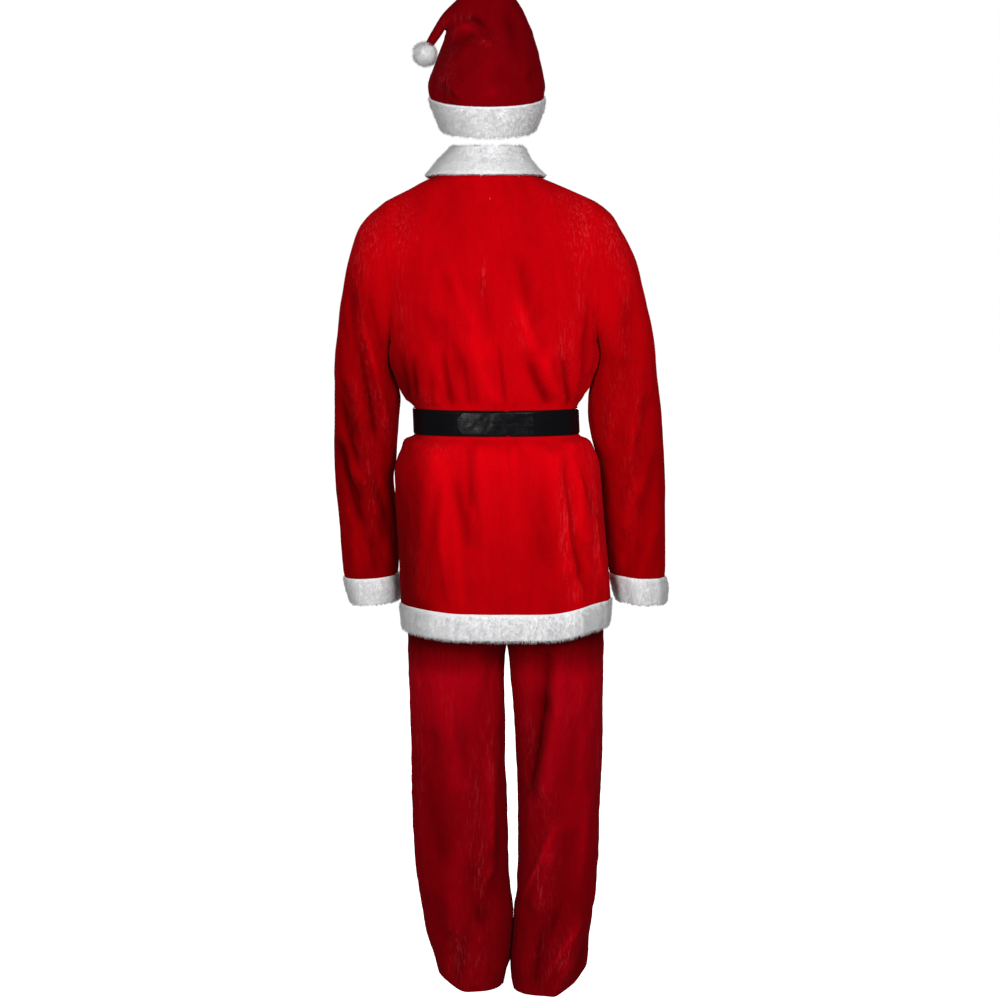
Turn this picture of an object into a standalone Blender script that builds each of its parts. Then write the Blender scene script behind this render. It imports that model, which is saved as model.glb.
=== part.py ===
"""Santa suit as worn by a standing figure: hat, belted jacket and trousers.

Metres, +Z up. The front faces -Y and the wearer's left is +X. The origin is the
point between the shoulders, level with the collar seam at the centre back.
"""
import math

import bmesh
import bpy
import numpy as np

MM = 0.001
ALL = slice(None)
# Driving sizes, in millimetres.
CLOTH = 2.0            # wall of the velvet
HAT_CLOTH = 1.6
SEAM = 0.36            # space between two pieces that are sewn together
SHOULDER_X = 185.0     # plane of the armhole seam
SHOULDER_Z = -44.0     # shoulder tip
ARMPIT_Z = -295.0
ARMHOLE_DEPTH = 74.0   # half the armhole, front to back
NECK_HALF_WIDTH = 90.0
NECK_BACK, NECK_FRONT, NECK_DROP = 74.0, 80.0, 40.0
JACKET_HEM_Z = -768.0
HEM_BAND_HEIGHT = 52.0
FUR = 13.0             # thickness of the fur bands
BELT_HEIGHT, BELT_THICK, BELT_OFF = 45.0, 2.4, 0.36
BELT_Z = -436.0
TAB_FROM_X, TAB_TO_X = -84.0, 50.0
CUFF_HEIGHT = 50.0
WAISTBAND_TOP, WAISTBAND_HEIGHT = -470.0, 30.0
CROTCH_Z = -840.0
HAT_TILT = 0.225       # the hat's edge drops this much per unit towards the back
HAT_BAND_HEIGHT = 60.0
POMPOM_CORE, POMPOM_REACH = 13.0, 23.0


def table(names, *rows):
    """A table with named columns, as arrays sorted by the first column."""
    rows = sorted(rows)
    return {n: np.array([r[i] for r in rows], float) for i, n in enumerate(names.split())}


TORSO = table(
    "z left right back front",
    (-295, 185, 185, 127, 124),
    (-306, 186.2, 186.2, 126, 124.5),
    (-319, 186.8, 186.4, 125, 125),
    (-330, 185.8, 184.6, 124, 126),
    (-343, 183, 181, 122, 125),
    (-354, 178.5, 175.8, 120, 124),
    (-366, 174.5, 171.3, 118, 123),
    (-378, 170.5, 166.2, 116, 121),
    (-386, 167, 161.5, 114, 119),
    (-393, 163, 157, 112, 117),
    (-400, 158.5, 152, 109, 114),
    (-411, 146.5, 146.5, 104, 109),
    (-461, 146.5, 146.5, 104, 109),
    (-472, 167, 165, 120, 123),
    (-486, 172.5, 173, 131, 129),
    (-500, 180, 178, 136, 132),
    (-512, 185, 180.5, 139, 133),
    (-530, 188.3, 181.6, 142, 134),
    (-580, 189, 182.7, 146, 137),
    (-680, 187.5, 186.5, 150, 140),
    (-768, 188, 188, 153, 142),
)
SLEEVE = table(
    "row outer_left outer_right outer_z inner_left inner_right inner_z half_depth centre_y",
    (1, 199, 201, -55, 186.8, 186.8, -299, 75, 0),
    (2, 217, 217, -70, 187.6, 187.6, -303, 76, -1),
    (3, 235, 230, -93, 188.2, 188.2, -308, 77, -2),
    (4, 247, 245, -121, 188.5, 188.5, -313, 77, -3),
    (5, 256, 258, -152, 188.5, 188.4, -318, 76, -4),
    (6, 265, 267, -190, 188.2, 188, -324, 75, -6),
    (7, 274, 275.5, -232, 187.2, 186.5, -332, 74, -8),
    (8, 279.5, 284.5, -275, 185.2, 183.5, -341, 73, -11),
    (9, 286, 290, -318, 180.8, 178, -354, 72, -15),
    (10, 288.5, 292, -358, 175.3, 172.5, -372, 71, -19),
    (11, 289.5, 296, -395, 170.5, 168, -395, 70, -24),
    (12, 291.5, 299, -430, 174.5, 166, -430, 69, -30),
    (13, 295.5, 300.5, -480, 181.3, 172.5, -480, 69, -36),
    (14, 297, 301, -512, 185.5, 180.5, -512, 68, -41),
    (15, 298.5, 300, -548, 192.5, 183, -548, 67, -45),
    (16, 296.5, 297.5, -610, 190, 184.5, -610, 65, -49),
    (17, 295, 294.5, -672, 190.5, 187.5, -672, 63, -52),
    (18, 294, 292, -719, 194, 190, -719, 61, -55),
)
# outer_left and outer_right are the sides of the two legs; inner is how far each leg's
# loop runs past the middle before the crotch seam cuts it off.
LEG = table(
    "z outer_left outer_right inner_left inner_right back front",
    (-500, 150, 150, -150, -150, 104, 108),
    (-560, 162, 162, -162, -162, 114, 114),
    (-620, 171, 171, -171, -171, 122, 118),
    (-680, 175, 174, -155, -155, 124, 117),
    (-730, 176, 175, -122, -122, 122, 114),
    (-785, 177.5, 175, -56, -56, 117, 109),
    (-816, 178, 175, -18, -18, 112, 105),
    (-840, 178.2, 175, 0.18, 0.18, 108, 102),
    (-870, 178, 174.5, 4.5, 5, 103, 99),
    (-905, 177.5, 174, 6, 6.5, 100, 97),
    (-950, 177, 172, 6, 10, 97, 95),
    (-1050, 177, 169, 6, 13.5, 94, 94),
    (-1140, 176, 164, 3, 16, 92, 93),
    (-1220, 173, 161.5, 2, 16, 91, 92),
    (-1264, 171, 157.5, 3, 12, 90, 90),
    (-1307, 168, 150, 1.5, 6, 89, 89),
    (-1330, 165.5, 144, 0.18, 0.18, 88, 88),
    (-1372, 157, 140, 0.18, 0.18, 85, 85),
    (-1412, 142, 141, 0.18, 0.18, 82, 82),
    (-1430, 137, 141, 5, 3, 80, 80),
    (-1455, 129, 128, 11, 7, 76, 76),
)
HAT = table(
    "row outer_x outer_z inner_x inner_z half_depth centre_y",
    (0, -102, 141, 102, 141, 107, -12),
    (1, -104, 155, 104, 157, 108, -12),
    (2, -101, 178, 101, 173, 106, -12),
    (3, -96, 203, 94, 191, 101, -12),
    (4, -89, 229, 87, 210, 93, -12),
    (5, -81, 254, 81, 228, 84, -12),
    (6, -70, 282, 77, 239, 73, -12),
    (7, -54, 308, 75, 245, 62, -12),
    (8, -29, 330, 73.5, 249, 52, -12),
    (9, 3, 341, 72.5, 252.5, 43, -12),
    (10, 33, 331, 72.5, 255.5, 35, -12),
    (11, 56, 308, 74, 257, 28, -12),
    (12, 77, 287, 76, 255, 22, -11),
    (13, 91, 266, 79, 250, 17, -9),
    (14, 101, 249, 84.5, 242, 13, -7),
    (15, 108.5, 235, 94, 230, 9.5, -6),
)
# The figure stands with its weight on one leg, so its middle line drifts sideways.
SWAY = table(
    "z x",
    (400, 1.8), (145, 2.5), (116, -0.5), (60, -0.5), (45, 1.8), (23, 6), (2, 4.5),
    (-12, 1.5), (-25, -2), (-47, -4.4), (-80, -5), (-112, -5.9), (-155, -6.8),
    (-256, -9.9), (-391, -13), (-470, -16), (-553, -21.6),
    (-660, -27), (-742, -32.4), (-860, -33.7), (-1000, -37), (-1220, -39), (-1264, -41),
    (-1307, -45), (-1330, -46.8), (-1350, -46), (-1393, -42), (-1430, -39), (-1500, -38),
)
# Folds run from point 0 to point 1 on the back or front view; width is half the
# fold's and height is out of the cloth, below zero for a trough.
FOLD = "x0 z0 x1 z1 width height"
JACKET_BACK_FOLDS = table(
    FOLD,
    (95, -262, 66, -330, 17, -7),
    (66, -330, 84, -408, 15, -6),
    (52, -345, 38, -408, 13, -6),
    (74, -163, 14, -312, 20, 7),
    (86, -184, 52, -269, 15, -6),
    (16, -190, 8, -278, 14, -4),
    (-55, -150, -78, -243, 16, -6),
    (-42, -226, -72, -306, 16, 7),
    (-63, -323, -98, -400, 15, -8),
    (-84, -330, -118, -400, 14, 6),
    (-128, -330, -130, -400, 15, -6),
    (54, -484, 58, -563, 15, -8),
    (80, -500, 62, -640, 17, -7),
    (34, -490, 28, -640, 18, 6),
    (112, -500, 152, -740, 22, 8),
    (-100, -500, -112, -690, 17, 9),
    (-120, -520, -132, -700, 13, -6),
    (-134, -480, -150, -640, 14, 7),
    (-60, -490, -74, -660, 18, -7),
    (-110, -690, -130, -760, 17, 7),
    (-20, -500, -30, -720, 16, 4),
)
JACKET_FRONT_FOLDS = table(
    FOLD,
    (-70, -200, -30, -330, 20, 7),
    (-100, -270, -80, -400, 16, -7),
    (60, -180, 40, -300, 20, 6),
    (90, -300, 70, -405, 16, -7),
    (40, -330, 34, -405, 14, 6),
    (-40, -350, -34, -405, 13, -5),
    (-60, -484, -66, -640, 17, -7),
    (-96, -490, -112, -720, 20, 8),
    (70, -484, 60, -620, 16, -7),
    (104, -490, 124, -730, 20, 8),
    (34, -500, 30, -700, 18, 5),
)
SLEEVE_FOLDS = table(
    FOLD,
    (252, -216, 237, -310, 14, -6),
    (237, -310, 219, -445, 15, -6),
    (276, -378, 258, -452, 13, -7),
    (262, -452, 249, -502, 14, -5),
    (288, -484, 262, -570, 14, -7),
    (262, -570, 244, -640, 14, -5),
    (246, -555, 206, -640, 13, -7),
    (262, -520, 222, -600, 13, 6),
    (252, -360, 232, -430, 14, 6),
    (226, -372, 196, -440, 13, 6),
    (275, -600, 240, -680, 14, 6),
    (225, -660, 205, -700, 12, -5),
)
LEG_BACK_FOLDS_LEFT = table(
    FOLD,
    (36, -1040, 36, -1200, 14, 5),
    (64, -1238, 56, -1325, 12, -8),
    (36, -1267, 54, -1325, 12, -8),
    (110, -900, 90, -1080, 22, 6),
    (140, -1000, 120, -1200, 20, -6),
    (90, -1200, 110, -1340, 20, 7),
    (140, -1300, 110, -1400, 16, -6),
    (60, -1360, 80, -1440, 16, 6),
    (30, -900, 60, -1000, 18, -5),
)
LEG_BACK_FOLDS_RIGHT = table(
    FOLD,
    (-72, -856, -64, -942, 15, -10),
    (-64, -942, -34, -1095, 16, -10),
    (-94, -860, -86, -950, 14, 7),
    (-86, -950, -62, -1090, 15, 7),
    (-82, -1160, -69, -1217, 14, 8),
    (-69, -1217, -42, -1300, 14, 8),
    (-110, -1180, -90, -1290, 16, -6),
    (-113, -1337, -100, -1414, 13, 8),
    (-100, -1414, -80, -1450, 12, 7),
    (-60, -1330, -50, -1430, 15, -6),
    (-130, -1000, -120, -1160, 20, 5),
)
LEG_FRONT_FOLDS = table(
    FOLD,
    (90, -900, 80, -1060, 20, 6),
    (50, -1100, 120, -1150, 16, -6),
    (50, -1170, 130, -1220, 16, 6),
    (60, -1260, 120, -1300, 15, -6),
    (80, -1330, 110, -1430, 16, 6),
    (130, -920, 120, -1080, 18, -6),
)
HAT_BACK_FOLDS = table(
    FOLD,
    (86, 158, 66, 142, 12, -5),
    (84, 226, 30, 262, 12, -6),
    (30, 262, 2, 256, 11, -6),
    (0, 190, -40, 240, 22, 4),
    (-60, 300, -30, 200, 16, -4),
)
HAT_FRONT_FOLDS = table(
    FOLD,
    (80, 226, 20, 260, 13, -6),
    (-20, 180, -50, 280, 20, 4),
)
BACK_COLUMNS, FRONT_COLUMNS, NECK_SHARE = 13, 8, 0.54
TORSO_ROWS = (-768, -735, -695, -655, -615, -577, -540, -510, -488, -472, -461,
              -436, -411, -400, -386, -366, -343, -319)
YOKE_ROWS = (0.0, 0.03, 0.10, 0.22, 0.36, 0.50, 0.64, 0.77, 0.88, 0.955, 1.0)
LEG_ROWS = (-1455, -1430, -1410, -1372, -1330, -1295, -1250, -1205, -1155, -1105, -1055,
            -1005, -955, -905, -870, -840, -836, -829, -815, -790, -750, -700, -635, -568, -500.4)
LEG_COLUMNS = 8
HAT_COLUMNS = 11


def between(t, name, at):
    """A column of a table at any value of its first column, without overshoot."""
    first = next(iter(t))
    xs, ys = t[first], t[name]
    at = np.clip(np.asarray(at, float), xs[0], xs[-1])
    h, d = np.diff(xs), np.diff(ys) / np.diff(xs)
    m = np.concatenate([d[:1], np.zeros(len(xs) - 2), d[-1:]])
    same = d[:-1] * d[1:] > 0
    m[1:-1][same] = 2 * d[:-1][same] * d[1:][same] / (d[:-1] + d[1:])[same]
    i = np.clip(np.searchsorted(xs, at, side="right") - 1, 0, len(xs) - 2)
    s = (at - xs[i]) / h[i]
    return (ys[i] * (1 + 2 * s) * (1 - s) ** 2 + ys[i + 1] * s * s * (3 - 2 * s)
            + h[i] * m[i] * s * (1 - s) ** 2 - h[i] * m[i + 1] * s * s * (1 - s))


def ease(t):
    t = np.clip(t, 0.0, 1.0)
    return t * t * (3 - 2 * t)


def spread(points, count, shares=None):
    """count + 1 points along a polyline, evenly or at the given shares of its length."""
    step = np.linalg.norm(np.diff(points, axis=0), axis=1)
    along = np.concatenate([[0.0], np.cumsum(step)])
    at = along[-1] * (np.linspace(0, 1, count + 1) if shares is None else np.asarray(shares))
    return np.stack([np.interp(at, along, points[:, k]) for k in range(points.shape[1])], 1)


def oval(a, half_x, half_y, power):
    c, s = np.cos(a), np.sin(a)
    return np.stack([half_x * np.sign(c) * np.abs(c) ** (2 / power),
                     half_y * np.sign(s) * np.abs(s) ** (2 / power)], -1)


def unit(v):
    return v / np.maximum(np.linalg.norm(v, axis=-1, keepdims=True), 1e-9)


def grid_normals(p, centre, wrap):
    """Outward normals of a grid of points; centre is one point inside each row."""
    down = np.gradient(p, axis=0)
    if wrap:
        across = (np.roll(p, -1, 1) - np.roll(p, 1, 1)) / 2
    else:
        across = np.gradient(p, axis=1)
    n = unit(np.cross(across, down))
    if np.sum(n * (p - centre[:, None, :])) < 0:
        n = -n
    return n


def flatten(n, edges):
    """Turns the normals at a seam into the seam's own plane, axis by axis."""
    n = n.copy()
    for rows, columns, axis in edges:
        n[rows, columns, axis] = 0.0
    return unit(n)


def fold_height(p, folds):
    """Height of the folds at points p, which run along segments in x and z."""
    out = np.zeros(p.shape[:-1])
    q = p[..., [0, 2]]
    for x0, z0, x1, z1, width, height in zip(*folds.values()):
        a, b = np.array([x0, z0]), np.array([x1, z1])
        t = np.clip(((q - a) @ (b - a)) / ((b - a) @ (b - a)), 0, 1)
        away = np.linalg.norm(q - a - t[..., None] * (b - a), axis=-1)
        out += height * np.exp(-(away / width) ** 2)
    return out


def warp(p):
    """Moves points sideways with the stance of the figure."""
    q = np.array(p, float)
    q[..., 0] += np.interp(q[..., 2], SWAY["z"], SWAY["x"])
    return q


def material(name, colour, roughness, sheen=0.0):
    m = bpy.data.materials.new(name)
    m.use_nodes = True
    b = m.node_tree.nodes["Principled BSDF"]
    b.inputs["Base Color"].default_value = (*colour, 1)
    b.inputs["Roughness"].default_value = roughness
    b.inputs["Sheen Weight"].default_value = sheen
    return m


JACKET_RED = dict(colour=(0.52, 0.002, 0.006), roughness=0.75, sheen=0.5)
DEEP_RED = dict(colour=(0.19, 0.001, 0.006), roughness=0.75, sheen=0.4)
WHITE_FUR = dict(colour=(0.8, 0.8, 0.79), roughness=0.95)
BLACK_VINYL = dict(colour=(0.012, 0.012, 0.014), roughness=0.2)


def solid(name, points, triangles, look):
    """One closed body from points in millimetres, facing out."""
    p = warp(np.asarray(points, float)) * MM
    t = np.asarray(triangles, int)
    volume = np.einsum("ij,ij->", p[t[:, 0]], np.cross(p[t[:, 1]], p[t[:, 2]]))
    if volume < 0:
        t = t[:, ::-1]
    mesh = bpy.data.meshes.new(name)
    mesh.from_pydata(p.tolist(), [], t.tolist())
    mesh.validate()
    ob = bpy.data.objects.new(name, mesh)
    bpy.context.scene.collection.objects.link(ob)
    mesh.materials.append(material(name, **look))
    return ob


def quads(a, b, c, d):
    """Two triangles for each quad, always split along the same diagonal."""
    a, b, c, d = (np.asarray(k).ravel() for k in (a, b, c, d))
    return np.concatenate([np.stack([a, b, c], 1), np.stack([a, c, d], 1)])


def wall(name, face, lining, look, wrap=False, finish=lambda q: q):
    """A cloth wall between the grids of its two sides, closed round every edge."""
    rows, cols = face.shape[:2]
    outer = np.arange(rows * cols).reshape(rows, cols)
    inner = outer + rows * cols
    points = np.concatenate([face.reshape(-1, 3), lining.reshape(-1, 3)])
    if wrap:
        outer = np.concatenate([outer, outer[:, :1]], 1)
        inner = np.concatenate([inner, inner[:, :1]], 1)
    tris = []
    for g, flip in ((outer, False), (inner, True)):
        f = quads(g[:-1, :-1], g[:-1, 1:], g[1:, 1:], g[1:, :-1])
        tris.append(f[:, ::-1] if flip else f)
    tris.append(quads(outer[0, 1:], outer[0, :-1], inner[0, :-1], inner[0, 1:]))
    tris.append(quads(outer[-1, :-1], outer[-1, 1:], inner[-1, 1:], inner[-1, :-1]))
    if not wrap:
        tris.append(quads(outer[:-1, 0], outer[1:, 0], inner[1:, 0], inner[:-1, 0]))
        tris.append(quads(outer[1:, -1], outer[:-1, -1], inner[:-1, -1], inner[1:, -1]))
    return solid(name, finish(points), np.concatenate(tris), look)


def strip(name, ring, out, up, profile, look, closed=True, finish=lambda q: q):
    """A band: the profile's (out, up) points carried along a ring of points."""
    profile = np.asarray(profile, float)
    if profile.ndim == 2:
        profile = np.broadcast_to(profile, (len(ring),) + profile.shape)
    p = (ring[:, None] + profile[..., :1] * out[:, None] + profile[..., 1:] * up[:, None])
    count, sides = p.shape[:2]
    ids = np.arange(count * sides).reshape(count, sides)
    g = np.concatenate([ids, ids[:, :1]], 1)
    if closed:
        g = np.concatenate([g, g[:1]], 0)
    tris = [quads(g[:-1, :-1], g[:-1, 1:], g[1:, 1:], g[1:, :-1])]
    if not closed:
        for end, turn in ((ids[0], False), (ids[-1], True)):
            cap = np.array([(end[0], end[k + 1], end[k]) for k in range(1, sides - 1)])
            tris.append(cap[:, ::-1] if turn else cap)
    return solid(name, finish(p.reshape(-1, 3)), np.concatenate(tris), look)


def ring_sides(ring, closed=True):
    """The outward level direction at each point of a ring that runs round a tube."""
    if closed:
        along = np.roll(ring, -1, 0) - np.roll(ring, 1, 0)
    else:
        along = np.gradient(ring, axis=0)
    out = np.cross(along, (0, 0, 1.0))
    if np.sum(out[:, :2] * (ring - ring.mean(0))[:, :2]) < 0:
        out = -out
    return unit(out)


def soft_profile(thick, height, lean=0.0):
    """A rounded cross-section, hanging down from the point it starts at."""
    return [(-0.45 * thick, -0.14 * height), (-0.1 * thick, 0.0), (0.3 * thick, -0.05 * height),
            (0.55 * thick + lean / 2, -0.45 * height), (0.4 * thick + lean, -0.92 * height),
            (lean, -height), (-0.4 * thick + lean, -0.9 * height)]


# ---- jacket body -------------------------------------------------------------------

def torso_arc(z, side, word, count):
    """A quarter of the jacket's section, from the middle to the side seam."""
    w = between(TORSO, word, z)
    d = between(TORSO, "back" if side > 0 else "front", z)
    p, g = 2.35, SEAM / 2
    a = np.linspace(math.acos((g / w) ** (p / 2)), math.asin((g / d) ** (p / 2)), 160)
    arc = spread(oval(a, w, d, p), count)
    return np.column_stack([arc[:, 0], side * arc[:, 1], np.full(count + 1, float(z))])


def neck_point(turn, side):
    """A point of the neck seam; turn runs from 0 at the middle to 1 at the shoulder."""
    a = turn * math.pi / 2
    depth = NECK_BACK if side > 0 else NECK_FRONT
    drop = 0.0 if side > 0 else -NECK_DROP * np.cos(a) ** 1.5
    return np.stack([NECK_HALF_WIDTH * np.sin(a), side * depth * np.cos(a), drop + 0 * a], -1)


def torso_base(side, word, count):
    """The grid of a quarter of the jacket body, from the hem up to neck and shoulder."""
    g = SEAM / 2
    rows = [torso_arc(z, side, word, count) for z in TORSO_ROWS]
    base = torso_arc(ARMPIT_Z, side, word, count)
    base[-1] = (SHOULDER_X - g, side * g, ARMPIT_Z)
    split = round(count * NECK_SHARE)
    turn = np.linspace(0, 1, split + 1)
    neck = neck_point(turn, side)
    neck[0, 0], neck[-1, 1] = g, side * g
    share = np.linspace(0, 1, count - split + 1)[1:]
    seam = np.column_stack([
        NECK_HALF_WIDTH + (SHOULDER_X - g - NECK_HALF_WIDTH) * share,
        np.full(len(share), side * g),
        SHOULDER_Z * share ** 1.03])
    top = np.concatenate([neck, seam])
    v = np.linspace(0, 1, count + 1)
    body = 1 - ease((v - 0.30) / 0.3)
    for h in YOKE_ROWS:
        round_off = (1 - h ** 2.3) ** (1 / 2.3)
        slope = 1 - h ** 2.6
        f = body * slope + (1 - body) * round_off
        x = base[:, 0] + (top[:, 0] - base[:, 0]) * h ** 1.4
        y = top[:, 1] + (base[:, 1] - top[:, 1]) * f
        z = base[:, 2] + (top[:, 2] - base[:, 2]) * h
        swell = ARMHOLE_DEPTH * (1 - abs(2 * h - 1) ** 2.2) ** (1 / 2.2)
        near = np.clip((v - 0.5) / 0.5, 0, 1) ** 1.5
        y = y + side * swell * near
        y[-1] = side * max(swell, g)
        rows.append(np.column_stack([x, y, z]))
    rows[len(TORSO_ROWS)][:] = base
    return np.array(rows)


def skirt_drape(q):
    """The jacket's hem rises towards both sides, and more on the wearer's right."""
    q = q.copy()
    low = ease((-610 - q[..., 2]) / 150)
    side = ease((np.abs(q[..., 0]) - 80) / 95)
    q[..., 2] += low * side * np.where(q[..., 0] > 0, 5.0, 14.0)
    return q


def torso_panel(name, side, hand, folds):
    """One panel; side is 1 for the back, hand is 1 for the wearer's left."""
    count = BACK_COLUMNS if side > 0 else FRONT_COLUMNS
    p = torso_base(side, "left" if hand > 0 else "right", count)
    p[..., 0] *= hand
    z = p[..., 2]
    below = len(TORSO_ROWS)
    centre = np.stack([0 * z[:, 0], 0 * z[:, 0], np.minimum(z[:, 0], -150)], 1)
    x, y = 0, 1
    split = round(count * NECK_SHARE)
    edges = [(ALL, 0, x), (slice(0, below), -1, y), (slice(below, None), -1, x),
             (0, ALL, 2), (-1, slice(split, None), y)]

    def normals(q):
        n = flatten(grid_normals(q, centre, False), edges)
        n[below, -1] = (0, 0, -1)
        n[-1, -1] = (0, 0, 1)
        return n

    weight = np.clip(np.abs(p[..., 1]) / 45, 0, 1)
    weight *= ease((np.abs(z - BELT_Z) - BELT_HEIGHT / 2 - 3) / 14)
    weight[below:] *= 1 - ease((np.linspace(0, 1, count + 1) - 0.72) / 0.22)
    weight[below:] *= (1 - np.array(YOKE_ROWS)[:, None] ** 3)
    p = p + (fold_height(p, folds) * weight)[..., None] * normals(p)
    n = normals(p)
    wall(name, p, p - CLOTH * n, JACKET_RED, finish=skirt_drape)
    return p


def cuff_drape(q):
    """The sleeve's end hangs a little lower at the back and on the outer side."""
    q = q.copy()
    low = ease((-600 - q[..., 2]) / 110)
    q[..., 2] -= low * (0.07 * (np.abs(q[..., 0]) - 243) + 0.05 * (q[..., 1] + 55))
    return q


def sleeve(word, hand, folds, armhole):
    """A sleeve from the armhole's own points down to the cuff seam."""
    cols = len(armhole)
    rows = [armhole]
    centres = [armhole.mean(0)]
    for r in SLEEVE["row"]:
        ox, oz, ix, iz, hd, cy = (between(SLEEVE, k, r) for k in (
            f"outer_{word}", "outer_z", f"inner_{word}", "inner_z", "half_depth", "centre_y"))
        mid = np.array([(ox + ix) / 2, cy, (oz + iz) / 2])
        across = np.array([ox - ix, 0, oz - iz]) / 2
        a = np.linspace(0, 2 * math.pi, 240)
        flat = oval(a, np.linalg.norm(across), hd, 2.25)
        flat = spread(flat, cols)[:-1]
        lead = flat[:, :1] / np.linalg.norm(across)
        rows.append(mid + lead * across + flat[:, 1:] * np.array([0, 1.0, 0]))
        centres.append(mid)
    p, centre = np.array(rows), np.array(centres)
    edges = [(0, ALL, 0), (-1, ALL, 2)]

    def normals(q):
        return flatten(grid_normals(q, centre, True), edges)

    weight = np.clip(np.abs(p[..., 1] - centre[:, None, 1]) / 30, 0, 1)
    weight *= ease((np.arange(len(p)) - 1.0) / 4)[:, None]
    out = p[..., 0] - centre[:, None, 0]
    weight *= 1 - ease((-out - 28) / 25)
    p = p + (fold_height(p, folds) * weight)[..., None] * normals(p)
    n = normals(p)
    p[..., 0] *= hand
    n[..., 0] *= hand
    wall(f"sleeve_{word}", p, p - CLOTH * n, JACKET_RED, wrap=True, finish=cuff_drape)
    return p


def armhole_points():
    """The armhole from the shoulder tip down the back and up the front, for the left."""
    back = torso_base(1, "left", BACK_COLUMNS)[len(TORSO_ROWS):, -1]
    front = torso_base(-1, "left", FRONT_COLUMNS)[len(TORSO_ROWS):, -1]
    back[0, 1] = back[-1, 1] = 0
    loop = np.concatenate([back[::-1], front[1:-1]])
    loop[:, 0] = SHOULDER_X + SEAM / 2
    return loop


def mirrored(folds):
    out = dict(folds)
    for k in ("x0", "x1"):
        out[k] = -folds[k]
    return out


def shifted(folds, by):
    """The same folds a little lower and fainter, for the side that isn't alike."""
    out = dict(folds)
    for k in ("z0", "z1"):
        out[k] = folds[k] - by
    out["height"] = folds["height"] * 0.9
    return out


def jacket():
    panels = {}
    for hand, word in ((1, "left"), (-1, "right")):
        for side, where, folds in ((1, "back", JACKET_BACK_FOLDS),
                                   (-1, "front", JACKET_FRONT_FOLDS)):
            panels[where, word] = torso_panel(f"jacket_{where}_{word}", side, hand, folds)
    loop = armhole_points()
    sleeves = {"left": sleeve("left", 1, SLEEVE_FOLDS, loop),
               "right": sleeve("right", -1, shifted(SLEEVE_FOLDS, 26), loop)}
    # Each band of fur carries on where its cloth ends.
    half = [np.concatenate([panels["back", w][0], panels["front", w][0][-2::-1]])
            for w in ("left", "right")]
    ring = np.concatenate([half[1][::-1], half[0][1:]])
    ring = open_ring(ring, 46, -JACKET_HEM_Z)
    down = np.tile([0, 0, 1.0], (len(ring), 1))
    ring[:, 2] = JACKET_HEM_Z - SEAM
    out = ring_sides(ring, closed=False)
    out[[0, -1], 0] = 0
    strip("hem_band", ring - 1.0 * out, unit(out), down,
          [soft_profile(FUR, HEM_BAND_HEIGHT, 2 - 4 * o[0] ** 4) for o in unit(out)],
          WHITE_FUR, closed=False, finish=skirt_drape)
    for word, p in sleeves.items():
        end = spread(np.concatenate([p[-1], p[-1][:1]]), 18)[:-1]
        end[:, 2] -= SEAM
        out = ring_sides(end)
        up = np.tile([0, 0, 1.0], (len(end), 1))
        profile = [soft_profile(FUR * 0.85, CUFF_HEIGHT, -11 * max(0, o[0]) ** 2) for o in out]
        strip(f"cuff_{word}", end - 1.5 * out, out, up, profile, WHITE_FUR,
              finish=cuff_drape)
    collar()
    belt()


def open_ring(ring, count, level):
    """Spreads a ring evenly and keeps its two ends just clear of the middle plane."""
    ring = spread(ring, count)
    ring[0, 0] = math.copysign(SEAM, ring[1, 0])
    ring[-1, 0] = math.copysign(SEAM, ring[-2, 0])
    return ring


def collar():
    """The standing collar of fur, open at the middle of the front."""
    turn = np.linspace(0, 1, 9)
    front, back = neck_point(turn, -1), neck_point(turn, 1)
    left = np.concatenate([front, back[-2::-1]])
    right = left[::-1] * np.array([-1, 1, 1])
    ring = np.concatenate([left, right[1:]])
    ring = spread(ring, 34)
    ring[0, 0], ring[-1, 0] = SEAM, -SEAM
    out = ring_sides(ring, closed=False)
    out[[0, -1], 0] = 0
    out = unit(out)
    up = np.tile([0, 0, 1.0], (len(ring), 1))
    # Near the shoulders the cloth is flatter, so the lower lip reaches out less far down.
    flat = np.abs(ring[:, 0]) / NECK_HALF_WIDTH
    low = np.where(ring[:, 1] > 0, -3.5 + 2.5 * flat, -1.0)
    profile = np.zeros((len(ring), 7, 2))
    for k, (a, b) in enumerate(((-3, 1.4), (14, 1.8), (7, 14), (-10, 32), (-26, 51),
                                (-34, 47), (-22, 26))):
        profile[:, k] = (a, b)
    # The collar leans in less at the front and back than at the sides.
    profile[:, 3:, 0] *= (0.55 + 0.45 * np.abs(out[:, :1]) ** 1.5)
    profile[:, 1, 1] += low
    # At the shoulder seams the lip reaches out and lies down on the slope.
    side = np.abs(out[:, 0]) ** 12
    profile[:, 1] += side[:, None] * (5.0, -3.8)
    profile[:, 2, 0] -= 2.5 * np.abs(out[:, 0]) ** 2
    profile[:, :2, 1] += 1.8 * ease(-ring[:, 1:2] / 40)
    strip("collar", ring, out, up, profile, WHITE_FUR, closed=False)


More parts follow.
